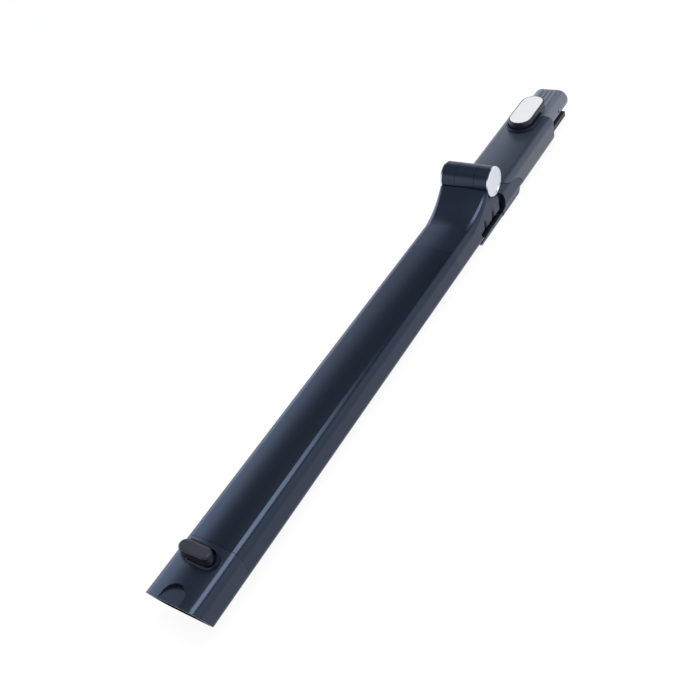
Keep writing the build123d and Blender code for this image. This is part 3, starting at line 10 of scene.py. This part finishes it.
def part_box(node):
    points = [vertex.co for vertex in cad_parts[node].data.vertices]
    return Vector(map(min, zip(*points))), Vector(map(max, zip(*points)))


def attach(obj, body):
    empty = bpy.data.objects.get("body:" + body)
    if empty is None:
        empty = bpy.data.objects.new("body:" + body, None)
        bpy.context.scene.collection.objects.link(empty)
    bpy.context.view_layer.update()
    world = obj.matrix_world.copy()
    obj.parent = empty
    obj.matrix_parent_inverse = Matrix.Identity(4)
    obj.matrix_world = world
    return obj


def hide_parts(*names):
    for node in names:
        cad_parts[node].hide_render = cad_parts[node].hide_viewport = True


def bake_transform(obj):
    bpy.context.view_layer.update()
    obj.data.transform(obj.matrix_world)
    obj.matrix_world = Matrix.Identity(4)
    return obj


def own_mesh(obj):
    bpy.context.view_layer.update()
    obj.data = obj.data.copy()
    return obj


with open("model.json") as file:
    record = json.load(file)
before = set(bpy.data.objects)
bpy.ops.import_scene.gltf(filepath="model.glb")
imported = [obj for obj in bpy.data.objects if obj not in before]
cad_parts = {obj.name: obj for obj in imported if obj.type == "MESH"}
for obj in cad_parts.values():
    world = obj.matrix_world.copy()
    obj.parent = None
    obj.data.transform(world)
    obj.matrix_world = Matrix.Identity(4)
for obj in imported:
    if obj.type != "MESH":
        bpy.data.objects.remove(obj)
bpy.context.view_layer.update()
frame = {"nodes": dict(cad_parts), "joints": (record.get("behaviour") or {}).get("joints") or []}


# Lower tube: a flat-oval aluminium extrusion with a web inside, bead-blasted and dyed blue-black in
# the anodising bath. So it is satin, with faint die lines along its length where light grazes it.
# The blasted grain and the lines are drawn coarser than they are, so that they show.
def linear(hex_colour):
    """Linear RGBA of an sRGB hex value."""
    srgb = np.array([int(hex_colour[i:i + 2], 16) for i in (1, 3, 5)]) / 255
    rgb = np.where(srgb <= 0.04045, srgb / 12.92, ((srgb + 0.055) / 1.055) ** 2.4)
    return (*rgb.tolist(), 1.0)


def add(tree, kind, inputs, **settings):
    """A new node of one kind: settings are its own, inputs are values or sockets to link from."""
    node = tree.nodes.new(kind)
    for name, value in settings.items():
        setattr(node, name, value)
    for name, value in inputs.items():
        if isinstance(value, bpy.types.NodeSocket):
            tree.links.new(value, node.inputs[name])
        else:
            node.inputs[name].default_value = value
    return node


def new_finish(name, colour, **sockets):
    """A material with one Principled shader: the colour, and the shader's other sockets by name."""
    finish = bpy.data.materials.new(name)
    finish.use_nodes = True
    tree = finish.node_tree
    shader = tree.nodes["Principled BSDF"]
    shader.inputs["Base Color"].default_value = linear(colour)
    for socket, value in sockets.items():
        shader.inputs[socket.replace("_", " ")].default_value = value
    return finish, tree, shader


def dress(finish, *names):
    """Gives CAD nodes their finish."""
    for name in names:
        frame["nodes"][name].material_slots[0].material = finish


MM = 0.001
DIE_LINE = 0.7 * MM
DIE_RUN = 140 * MM
BLAST_GRAIN = 0.45 * MM
BLAST_DEPTH = 0.02 * MM
BLAST_STRENGTH = 0.05
TUBE_SATIN = (0.21, 0.25)
DYE_EDGE = "#D6DAE4"
anodised, tree, shader = new_finish("anodised_aluminium", "#2A3341", Metallic=0.75)
shader.inputs["Specular Tint"].default_value = linear(DYE_EDGE)
place = add(tree, "ShaderNodeTexCoord", {})
stretched = add(
    tree,
    "ShaderNodeMapping",
    {"Vector": place.outputs["Object"], "Scale": (1 / DIE_RUN, 1 / DIE_LINE, 1 / DIE_LINE)},
)
die_lines = add(
    tree,
    "ShaderNodeTexNoise",
    {"Vector": stretched.outputs["Vector"], "Scale": 1.0, "Detail": 2.0},
)
blast = add(tree, "ShaderNodeTexNoise", {"Vector": place.outputs["Object"], "Scale": 1 / BLAST_GRAIN})
satin = add(
    tree,
    "ShaderNodeMapRange",
    {"Value": die_lines.outputs["Fac"], "To Min": TUBE_SATIN[0], "To Max": TUBE_SATIN[1]},
)
tree.links.new(satin.outputs["Result"], shader.inputs["Roughness"])
skin = add(
    tree,
    "ShaderNodeBump",
    {"Height": blast.outputs["Fac"], "Strength": BLAST_STRENGTH, "Distance": BLAST_DEPTH},
)
tree.links.new(skin.outputs["Normal"], shader.inputs["Normal"])
dress(anodised, "lower_tube")

# Lower collar, knee housing and yoke: thick mouldings in blue-black ABS, each with a tenon that
# slides into its neighbour. A fine metal flake in the pigment matches them to the anodised tube,
# and the spark-eroded tool leaves an even grain, drawn coarser than it is.
SPARK_GRAIN = 0.5 * MM
SPARK_DEPTH = 0.02 * MM
SPARK_STRENGTH = 0.15
FLOW_PATCH = 30 * MM
MOULD_SATIN = (0.21, 0.26)
navy_abs, tree, shader = new_finish("moulded_abs_navy", "#2A3342", Metallic=0.65)
shader.inputs["Specular Tint"].default_value = linear(DYE_EDGE)
place = add(tree, "ShaderNodeTexCoord", {})
spark = add(
    tree,
    "ShaderNodeTexNoise",
    {"Vector": place.outputs["Object"], "Scale": 1 / SPARK_GRAIN, "Detail": 3.0},
)
flow = add(tree, "ShaderNodeTexNoise", {"Vector": place.outputs["Object"], "Scale": 1 / FLOW_PATCH})
satin = add(
    tree,
    "ShaderNodeMapRange",
    {"Value": flow.outputs["Fac"], "To Min": MOULD_SATIN[0], "To Max": MOULD_SATIN[1]},
)
tree.links.new(satin.outputs["Result"], shader.inputs["Roughness"])
skin = add(
    tree,
    "ShaderNodeBump",
    {"Height": spark.outputs["Fac"], "Strength": SPARK_STRENGTH, "Distance": SPARK_DEPTH},
)
tree.links.new(skin.outputs["Normal"], shader.inputs["Normal"])
dress(navy_abs, "lower_collar", "knee_lower_housing", "knee_upper_yoke")

# Contact and plug blocks, cuffs, duct and latches: unseen or half-hidden mouldings in black
# glass-filled nylon, matt and a little mottled where the fibres come to the surface.
FIBRE_PATCH = 1.6 * MM
FIBRE_DEPTH = 0.03 * MM
FIBRE_STRENGTH = 0.1
NYLON_MATT = (0.46, 0.62)
black_nylon, tree, shader = new_finish("glass_filled_nylon", "#111317", IOR=1.53)
place = add(tree, "ShaderNodeTexCoord", {})
fibre = add(
    tree,
    "ShaderNodeTexNoise",
    {"Vector": place.outputs["Object"], "Scale": 1 / FIBRE_PATCH, "Detail": 4.0},
)
matt = add(
    tree,
    "ShaderNodeMapRange",
    {"Value": fibre.outputs["Fac"], "To Min": NYLON_MATT[0], "To Max": NYLON_MATT[1]},
)
tree.links.new(matt.outputs["Result"], shader.inputs["Roughness"])
skin = add(
    tree,
    "ShaderNodeBump",
    {"Height": fibre.outputs["Fac"], "Strength": FIBRE_STRENGTH, "Distance": FIBRE_DEPTH},
)
tree.links.new(skin.outputs["Normal"], shader.inputs["Normal"])
dress(
    black_nylon,
    "head_contact_block",
    "head_latch",
    "hose_cuff_lower",
    "hose_cuff_upper",
    "upper_duct",
    "plug_block",
    "wand_latch",
)

# Blades: stamped brass strips pressed into the blocks. The mill leaves them bright, with fine lines
# along their length.
ROLL_LINE = 0.3 * MM
ROLL_RUN = 3 * MM
BRASS_BRIGHT = (0.2, 0.36)
brass, tree, shader = new_finish("rolled_brass", "#C9A24F", Metallic=1.0)
place = add(tree, "ShaderNodeTexCoord", {})
rolled = add(
    tree,
    "ShaderNodeMapping",
    {"Vector": place.outputs["Object"], "Scale": (1 / ROLL_RUN, 1 / ROLL_LINE, 1 / ROLL_LINE)},
)
lines = add(tree, "ShaderNodeTexNoise", {"Vector": rolled.outputs["Vector"], "Scale": 1.0})
bright = add(
    tree,
    "ShaderNodeMapRange",
    {"Value": lines.outputs["Fac"], "To Min": BRASS_BRIGHT[0], "To Max": BRASS_BRIGHT[1]},
)
tree.links.new(bright.outputs["Result"], shader.inputs["Roughness"])
dress(brass, "head_contact_blades", "plug_blades")

# Leads: round two-core cables in a soft black PVC jacket, laid straight beside the airway. The
# extruder leaves the jacket dull and a little uneven.
JACKET_GRAIN = 1.2 * MM
JACKET_MATT = (0.5, 0.65)
jacket, tree, shader = new_finish("soft_pvc_jacket", "#15161A", IOR=1.52)
place = add(tree, "ShaderNodeTexCoord", {})
grain = add(tree, "ShaderNodeTexNoise", {"Vector": place.outputs["Object"], "Scale": 1 / JACKET_GRAIN})
matt = add(
    tree,
    "ShaderNodeMapRange",
    {"Value": grain.outputs["Fac"], "To Min": JACKET_MATT[0], "To Max": JACKET_MATT[1]},
)
tree.links.new(matt.outputs["Result"], shader.inputs["Roughness"])
dress(jacket, "lower_lead", "upper_lead")

# Pins: drawn steel rods, ground round and pressed into the walls at their ends. The grinding marks
# break up the shine.
GRINDING_MARK = 0.25 * MM
STEEL_GROUND = (0.22, 0.4)
steel, tree, shader = new_finish("drawn_steel", "#A9ACB0", Metallic=1.0)
place = add(tree, "ShaderNodeTexCoord", {})
marks = add(tree, "ShaderNodeTexNoise", {"Vector": place.outputs["Object"], "Scale": 1 / GRINDING_MARK})
ground = add(
    tree,
    "ShaderNodeMapRange",
    {"Value": marks.outputs["Fac"], "To Min": STEEL_GROUND[0], "To Max": STEEL_GROUND[1]},
)
tree.links.new(ground.outputs["Result"], shader.inputs["Roughness"])
dress(steel, "hinge_pin", "head_latch_pin", "bend_lever_pin", "wand_latch_pin")


# Coil springs: round steel wire wound in a few open turns, one under each of the two buttons and
# one above the lever. On the wand each shortens when its button or lever is pressed and keeps a share
# of its length, but here each is drawn at rest: the joint, fixed end and share listed for it are not
# used.
def mesh_piece(name, grid, around, along, capped=False):
    """A mesh object from one or more grids of points: around and along say which ways each grid
    closes on itself, and capped closes its first and last row with one face each."""
    rows, columns = grid.shape[-3:-1]
    index = np.arange(grid.size // 3).reshape(-1, rows, columns)
    here = index if along else index[:, :-1]
    here = here if around else here[:, :, :-1]
    down = np.roll(index, -1, axis=1)[:, :here.shape[1], :here.shape[2]]
    right = np.roll(index, -1, axis=2)[:, :here.shape[1], :here.shape[2]]
    both = np.roll(index, (-1, -1), axis=(1, 2))[:, :here.shape[1], :here.shape[2]]
    faces = np.stack([here, right, both, down], axis=-1).reshape(-1, 4).tolist()
    if capped:
        faces += index[:, 0, ::-1].tolist() + index[:, -1].tolist()
    mesh = bpy.data.meshes.new(name)
    mesh.from_pydata(grid.reshape(-1, 3).tolist(), [], faces)
    mesh.shade_smooth()
    piece = bpy.data.objects.new(name, mesh)
    bpy.context.scene.collection.objects.link(piece)
    return piece


def coil(low, high, radius, wire, turns, steps, ring_points):
    """Helix tube between two corners of a box: a circle of the wire's radius carried up a helix, in
    a frame of the helix's outward, level and climbing directions. Steps are those of one turn."""
    turn = np.linspace(0, 2 * np.pi * turns, steps * turns + 1)[:, None]
    ring = np.linspace(0, -2 * np.pi, ring_points, endpoint=False)[None, :]
    centre = (low + high) / 2
    climb_height = high[2] - low[2] - wire
    rise = climb_height * turn / turn.max()
    slope = np.arctan2(climb_height, 2 * np.pi * turns * radius)
    out = radius + wire / 2 * np.cos(ring)
    climb = wire / 2 * np.sin(ring)
    x = centre[0] + out * np.cos(turn) + climb * np.sin(slope) * np.sin(turn)
    y = centre[1] + out * np.sin(turn) - climb * np.sin(slope) * np.cos(turn)
    z = low[2] + wire / 2 + rise + climb * np.cos(slope)
    return np.stack([x, y, z], axis=-1)


WIRE = 0.6 * MM
SPRING_TURNS = 4
TURN_STEPS = 28
WIRE_POINTS = 10
springs = {
    "head_latch_spring": ("lower", "head_release", "low", 0.83),
    "bend_lever_spring": ("lower", "bend_release", "high", 0.75),
    "wand_latch_spring": ("upper", "wand_release", "low", 0.85),
}
for node, (body, joint, fixed_end, keep) in springs.items():
    low, high = (np.array(corner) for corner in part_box(node))
    radius = (high[0] - low[0]) / 2 - WIRE / 2
    grid = coil(low, high, radius, WIRE, SPRING_TURNS, TURN_STEPS, WIRE_POINTS)
    spring = mesh_piece(f"{node}_wire", grid, True, False, capped=True)
    spring.data.materials.append(steel)
    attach(spring, body)
    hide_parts(node)
    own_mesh(spring)

# Screws: a pair from below at each tenon, in the pins' steel. Each has a pan head with a rounded rim
# and a cross recess, and a plain shank, since the thread is hidden in its boss.
HEAD_RADIUS = 2.7 * MM
RIM_RADIUS = 0.6 * MM
HEAD_HEIGHT = 1.5 * MM
SHANK_RADIUS = 1.4 * MM
POINT_RADIUS = 0.28 * MM
MIDDLE_RADIUS = 0.027 * MM
ARM_REACH = 1.5 * MM
ARM_WIDTH = 0.7 * MM
RECESS_DEPTH = 0.8 * MM
RECESS_EDGE = 0.12 * MM
CREASE = np.radians(40)
SCREW_POINTS = 72
FACE_STEPS = 26
RIM_STEPS = 6


def pan_screw(x, y, low, high):
    """Profile turned about Z, from the middle of the face over the rim and up the shank to its
    point. The face sinks by the recess's depth where it lies within either arm of the cross."""
    ring = np.linspace(0, 2 * np.pi, SCREW_POINTS, endpoint=False)[None, :]
    flat = HEAD_RADIUS - RIM_RADIUS
    face = np.linspace(MIDDLE_RADIUS, flat, FACE_STEPS)
    turn = np.linspace(0, np.pi / 2, RIM_STEPS + 1)[1:]
    rim = flat + RIM_RADIUS * np.sin(turn)
    rim_height = RIM_RADIUS * (1 - np.cos(turn))
    length = high - low
    radius = np.concatenate([face, rim, [HEAD_RADIUS, SHANK_RADIUS, SHANK_RADIUS, POINT_RADIUS]])[:, None]
    back = [HEAD_HEIGHT, HEAD_HEIGHT, length - SHANK_RADIUS, length]
    height = np.concatenate([np.zeros_like(face), rim_height, back])[:, None]
    across = radius * np.cos(ring)
    beside = radius * np.sin(ring)
    spans = np.abs(np.stack([across, beside]))
    reach = np.clip((ARM_REACH - spans) / RECESS_EDGE + 0.5, 0, 1)
    narrow = np.clip((ARM_WIDTH / 2 - spans) / RECESS_EDGE + 0.5, 0, 1)
    cross = (reach * narrow[::-1]).max(axis=0)
    rise = height + RECESS_DEPTH * cross * (height == 0)
    return np.stack([x + across, y + beside, low + rise], axis=-1)


for node, body in {"collar_screws": "lower", "knee_screws": "lower", "upper_screws": "upper"}.items():
    low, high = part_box(node)
    x = (low[0] + high[0]) / 2
    sides = (low[1] + HEAD_RADIUS, high[1] - HEAD_RADIUS)
    grid = np.stack([pan_screw(x, y, low[2], high[2]) for y in sides])
    screws = mesh_piece(f"{node}_pan_heads", grid, True, False, capped=True)
    screws.data.set_sharp_from_angle(angle=CREASE)
    screws.data.materials.append(steel)
    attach(screws, body)
    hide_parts(node)

# Buttons and their bezels: black ABS without flake, in a finer and duller skin than the shells, so
# they look darker beside them. The bezels are glued on, and the buttons move in them. The bezels'
# black is partly painted shade: it stands for the shadow at the foot of each button.
FINE_GRAIN = 0.4 * MM
FINE_DEPTH = 0.02 * MM
FINE_STRENGTH = 0.1
BUTTON_SATIN = (0.34, 0.42)
black_abs_with_painted_shade, tree, shader = new_finish("moulded_abs_black_with_painted_shade", "#0C1322", IOR=1.5, Specular_IOR_Level=0.38)
place = add(tree, "ShaderNodeTexCoord", {})
fine = add(tree, "ShaderNodeTexNoise", {"Vector": place.outputs["Object"], "Scale": 1 / FINE_GRAIN})
satin = add(
    tree,
    "ShaderNodeMapRange",
    {"Value": fine.outputs["Fac"], "To Min": BUTTON_SATIN[0], "To Max": BUTTON_SATIN[1]},
)
tree.links.new(satin.outputs["Result"], shader.inputs["Roughness"])
skin = add(
    tree,
    "ShaderNodeBump",
    {"Height": fine.outputs["Fac"], "Strength": FINE_STRENGTH, "Distance": FINE_DEPTH},
)
tree.links.new(skin.outputs["Normal"], shader.inputs["Normal"])
# The bezels take this black partly as painted shade under the buttons.
dress(black_abs_with_painted_shade, "head_release_button", "head_button_bezel", "wand_release_button", "wand_button_bezel")

# Hinge bushes: natural acetal, moulded and pressed into the middle knuckle. It is off-white and
# looks waxy.
WAX_PATCH = 2 * MM
WAX_DEPTH = 0.05 * MM
WAX_STRENGTH = 0.1
acetal, tree, shader = new_finish("natural_acetal", "#E8E5DA", IOR=1.48, Roughness=0.42)
place = add(tree, "ShaderNodeTexCoord", {})
wax = add(tree, "ShaderNodeTexNoise", {"Vector": place.outputs["Object"], "Scale": 1 / WAX_PATCH})
skin = add(
    tree,
    "ShaderNodeBump",
    {"Height": wax.outputs["Fac"], "Strength": WAX_STRENGTH, "Distance": WAX_DEPTH},
)
tree.links.new(skin.outputs["Normal"], shader.inputs["Normal"])
dress(acetal, "hinge_bush_left", "hinge_bush_right")

# Hinge caps: turned discs with a bright plated face, glued over the ends of the barrel. The turning
# rings stretch the shine across the face.
PLATE_CLOUD = 5 * MM
CAP_BRIGHT = (0.16, 0.24)
plated, tree, shader = new_finish("satin_chrome_plate", "#D5D8E2", Metallic=1.0, Anisotropic=0.7)
place = add(tree, "ShaderNodeTexCoord", {})
cloud = add(tree, "ShaderNodeTexNoise", {"Vector": place.outputs["Object"], "Scale": 1 / PLATE_CLOUD})
bright = add(
    tree,
    "ShaderNodeMapRange",
    {"Value": cloud.outputs["Fac"], "To Min": CAP_BRIGHT[0], "To Max": CAP_BRIGHT[1]},
)
tree.links.new(bright.outputs["Result"], shader.inputs["Roughness"])
rings = add(tree, "ShaderNodeTangent", {}, direction_type="RADIAL", axis="Y")
tree.links.new(rings.outputs["Tangent"], shader.inputs["Tangent"])
dress(plated, "hinge_cap_left", "hinge_cap_right")

# Bellows hose: thin dark rubber blown into deep folds, clamped by a cuff at either end. It takes
# the airway across the knee. On the wand it stretches and bends when the upper half swings, but
# here it is drawn straight and attached to neither half.
FOLDS = 5
FOLD_PITCH = 17 * MM
FOLD_HALF = 7.2 * MM
FOLD_DEPTH = 3 * MM
FOLD_SHOULDER = 0.2
FIRST_CREST = 3 * MM
HOSE_CORNERS = np.array([6.0, 6.5]) * MM
HOSE_WALL = 1.4 * MM
HOSE_STEPS = 220
HOSE_POINTS = 64


def bellows(ends, crest, corners, crest_places, crest_half):
    """Tube carried along X with a rounded-rectangle section: within crest_half of each crest place
    it is crest wide and high, and elsewhere it falls by the fold's depth on all sides, with rounded
    shoulders. The two corners are those of the roots and of the crests."""
    along = np.linspace(*ends, HOSE_STEPS)
    nearest = np.abs(along[:, None] - crest_places[None, :]).min(axis=1)
    rise = np.clip((crest_half - nearest) / (FOLD_SHOULDER * crest_half), 0, 1)
    rise = (rise * rise * (3 - 2 * rise))[:, None]
    fall = FOLD_DEPTH * (1 - rise)
    corner = corners[0] + (corners[1] - corners[0]) * rise
    angle = (np.arange(HOSE_POINTS) + 0.5)[None, :] * 2 * np.pi / HOSE_POINTS
    across = np.sign(np.cos(angle)) * (crest[0] / 2 - fall - corner) + corner * np.cos(angle)
    up = np.sign(np.sin(angle)) * (crest[1] / 2 - fall - corner) + corner * np.sin(angle)
    return np.stack([np.broadcast_to(along[:, None], across.shape), across, up], axis=-1)


BLOOM_PATCH = 3 * MM
BLOOM_DEPTH = 0.08 * MM
BLOOM_STRENGTH = 0.15
RUBBER_MATT = (0.45, 0.62)
rubber, tree, shader = new_finish("moulded_rubber", "#2A323F", IOR=1.5)
place = add(tree, "ShaderNodeTexCoord", {})
bloom = add(
    tree,
    "ShaderNodeTexNoise",
    {"Vector": place.outputs["Object"], "Scale": 1 / BLOOM_PATCH, "Detail": 5.0},
)
matt = add(
    tree,
    "ShaderNodeMapRange",
    {"Value": bloom.outputs["Fac"], "To Min": RUBBER_MATT[0], "To Max": RUBBER_MATT[1]},
)
tree.links.new(matt.outputs["Result"], shader.inputs["Roughness"])
skin = add(
    tree,
    "ShaderNodeBump",
    {"Height": bloom.outputs["Fac"], "Strength": BLOOM_STRENGTH, "Distance": BLOOM_DEPTH},
)
tree.links.new(skin.outputs["Normal"], shader.inputs["Normal"])

hose_low, hose_high = (np.array(corner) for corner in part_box("bellows_hose"))
pivot = np.array(next(joint["pos_m"] for joint in frame["joints"] if joint["name"] == "bend"))
crest_places = pivot[0] + FIRST_CREST - FOLD_PITCH * np.arange(FOLDS)
crest_size = (hose_high - hose_low)[1:]
hose_axis = (hose_low[2] + hose_high[2]) / 2
ends = (hose_low[0], hose_high[0])
outer = bellows(ends, crest_size, HOSE_CORNERS, crest_places, FOLD_HALF)
inner = bellows(
    ends,
    crest_size - 2 * HOSE_WALL,
    HOSE_CORNERS - HOSE_WALL,
    crest_places,
    FOLD_HALF - HOSE_WALL,
)
wall = np.concatenate([outer, inner[::-1]], axis=0)
wall[..., 2] += hose_axis
hose = mesh_piece("bellows_folds", wall, True, True)
hose.data.materials.append(rubber)
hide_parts("bellows_hose")
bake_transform(hose)

# Keeper, lever and upper shell: mouldings in charcoal ABS, with the collar's grain, less flake and a
# paler grey, so the upper half looks lighter than the tube.
SHELL_SATIN = (0.3, 0.36)
charcoal_abs, tree, shader = new_finish("moulded_abs_charcoal", "#3B4453", Metallic=0.55)
place = add(tree, "ShaderNodeTexCoord", {})
spark = add(
    tree,
    "ShaderNodeTexNoise",
    {"Vector": place.outputs["Object"], "Scale": 1 / SPARK_GRAIN, "Detail": 3.0},
)
flow = add(tree, "ShaderNodeTexNoise", {"Vector": place.outputs["Object"], "Scale": 1 / FLOW_PATCH})
satin = add(
    tree,
    "ShaderNodeMapRange",
    {"Value": flow.outputs["Fac"], "To Min": SHELL_SATIN[0], "To Max": SHELL_SATIN[1]},
)
tree.links.new(satin.outputs["Result"], shader.inputs["Roughness"])
skin = add(
    tree,
    "ShaderNodeBump",
    {"Height": spark.outputs["Fac"], "Strength": SPARK_STRENGTH, "Distance": SPARK_DEPTH},
)
tree.links.new(skin.outputs["Normal"], shader.inputs["Normal"])
dress(charcoal_abs, "upper_shell", "bend_release_lever", "bend_keeper")

# Vacuum spigot: a slippery grey nylon moulding with ribs on its top, paler than the shell and
# faintly mottled, as it slides in and out of the vacuum.
SPIGOT_SATIN = (0.3, 0.42)
grey_nylon, tree, shader = new_finish("moulded_nylon_grey", "#545C69", IOR=1.53)
place = add(tree, "ShaderNodeTexCoord", {})
mottle = add(
    tree,
    "ShaderNodeTexNoise",
    {"Vector": place.outputs["Object"], "Scale": 1 / FIBRE_PATCH, "Detail": 4.0},
)
satin = add(
    tree,
    "ShaderNodeMapRange",
    {"Value": mottle.outputs["Fac"], "To Min": SPIGOT_SATIN[0], "To Max": SPIGOT_SATIN[1]},
)
tree.links.new(satin.outputs["Result"], shader.inputs["Roughness"])
dress(grey_nylon, "vacuum_spigot")

# Button plate: a thin stamped aluminium inlay, glued into the button. It is brushed across and
# lacquered, so it looks almost white.
BRUSH_LINE = 0.25 * MM
BRUSH_RUN = 9 * MM
INLAY_SATIN = (0.3, 0.42)
brushed, tree, shader = new_finish("brushed_aluminium_inlay", "#CBCBCC", Metallic=0.15)
place = add(tree, "ShaderNodeTexCoord", {})
brushing = add(
    tree,
    "ShaderNodeMapping",
    {"Vector": place.outputs["Object"], "Scale": (1 / BRUSH_LINE, 1 / BRUSH_RUN, 1 / BRUSH_RUN)},
)
strokes = add(
    tree,
    "ShaderNodeTexNoise",
    {"Vector": brushing.outputs["Vector"], "Scale": 1.0, "Detail": 2.0},
)
satin = add(
    tree,
    "ShaderNodeMapRange",
    {"Value": strokes.outputs["Fac"], "To Min": INLAY_SATIN[0], "To Max": INLAY_SATIN[1]},
)
tree.links.new(satin.outputs["Result"], shader.inputs["Roughness"])
dress(brushed, "wand_button_plate")

# Table: a wide white paper sweep that the wand lies on. Most of its white is its own, so that it looks
# evenly lit, and the rest takes a soft shadow.
TABLE_HALF = 12.0
GLOW_SHARE = 0.92
table_x, table_y = np.meshgrid([-TABLE_HALF, TABLE_HALF], [-TABLE_HALF, TABLE_HALF])
table_grid = np.stack([table_x, table_y, np.zeros_like(table_x)], axis=-1)
table = mesh_piece("white_table", table_grid, False, False)
paper = bpy.data.materials.new("white_sweep")
paper.use_nodes = True
tree = paper.node_tree
tree.nodes.clear()
matt_white = add(tree, "ShaderNodeBsdfDiffuse", {"Color": linear("#FAFAFA")})
glow = add(tree, "ShaderNodeEmission", {"Color": linear("#FFFFFF"), "Strength": 1.0})
sheet = add(tree, "ShaderNodeMixShader", {"Fac": GLOW_SHARE})
tree.links.new(matt_white.outputs["BSDF"], sheet.inputs[1])
tree.links.new(glow.outputs["Emission"], sheet.inputs[2])
add(tree, "ShaderNodeOutputMaterial", {"Surface": sheet.outputs["Shader"]})
table.data.materials.append(paper)

# Studio: a pale room, whitest low down and along its sides, with a dim band above that the flat
# tops mirror. A bright window low on the left pales the tube's left edge, and one square softbox
# overhead draws the bright line along its right edge.
SIDE_SHARE = 0.5
DIM_BAND = (0.28, 0.46)
ROOM_BRIGHT = 1.3
ROOM_DIM = 0.07
WINDOW_SIDE = Vector((0.12, 0.98, 0.14)).normalized()
WINDOW_EDGE = (0.74, 0.92)
WINDOW_BRIGHT = 2.6
SOFTBOX_SIZE = 1.15
SOFTBOX_WATTS = 24.0
SOFTBOX_PLACE = (0.10, -0.25, 1.60)
scene = bpy.context.scene
scene.view_settings.view_transform = "Standard"
room = bpy.data.worlds.new("studio_room")
room.use_nodes = True
scene.world = room
tree = room.node_tree
tree.nodes.clear()
direction = add(tree, "ShaderNodeTexCoord", {})
either_side = add(
    tree,
    "ShaderNodeVectorMath",
    {0: direction.outputs["Generated"]},
    operation="ABSOLUTE",
)
climb = add(
    tree,
    "ShaderNodeVectorMath",
    {0: either_side.outputs["Vector"], 1: (0.0, -SIDE_SHARE, 1.0)},
    operation="DOT_PRODUCT",
)
shade = add(
    tree,
    "ShaderNodeMapRange",
    {
        "Value": climb.outputs["Value"],
        "From Min": DIM_BAND[0],
        "From Max": DIM_BAND[1],
        "To Min": ROOM_BRIGHT,
        "To Max": ROOM_DIM,
    },
    interpolation_type="SMOOTHSTEP",
)
facing = add(
    tree,
    "ShaderNodeVectorMath",
    {0: direction.outputs["Generated"], 1: WINDOW_SIDE},
    operation="DOT_PRODUCT",
)
window = add(
    tree,
    "ShaderNodeMapRange",
    {
        "Value": facing.outputs["Value"],
        "From Min": WINDOW_EDGE[0],
        "From Max": WINDOW_EDGE[1],
        "To Min": 0.0,
        "To Max": WINDOW_BRIGHT,
    },
    interpolation_type="SMOOTHSTEP",
)
lit = add(
    tree,
    "ShaderNodeMath",
    {0: shade.outputs["Result"], 1: window.outputs["Result"]},
    operation="ADD",
)
sky = add(tree, "ShaderNodeBackground", {"Color": linear("#F6F8FF"), "Strength": lit.outputs["Value"]})
add(tree, "ShaderNodeOutputWorld", {"Surface": sky.outputs["Background"]})

softbox = bpy.data.lights.new("softbox", "AREA")
softbox.shape = "SQUARE"
softbox.size = SOFTBOX_SIZE
softbox.energy = SOFTBOX_WATTS
softbox_stand = bpy.data.objects.new("softbox", softbox)
scene.collection.objects.link(softbox_stand)
softbox_stand.location = SOFTBOX_PLACE

# Camera: over the lower end, turned a little, so that the wand runs up the picture to the right.
IMAGE = 700
FOCAL_PIXELS = 884.574
SENSOR = 36.0
camera = bpy.data.cameras.new("camera")
camera.sensor_width = SENSOR
camera.lens = SENSOR * FOCAL_PIXELS / IMAGE
camera_stand = bpy.data.objects.new("camera", camera)
scene.collection.objects.link(camera_stand)
right = Vector((0.50295, -0.83400, -0.22689))
up = Vector((0.67310, 0.21327, 0.70813))
forward = Vector((0.54220, 0.50888, -0.66863))
eye = Vector((-0.48445, -0.36826, 0.52489))
turn = Matrix((right, up, -forward)).transposed().to_4x4()
camera_stand.matrix_world = Matrix.Translation(eye) @ turn
scene.camera = camera_stand
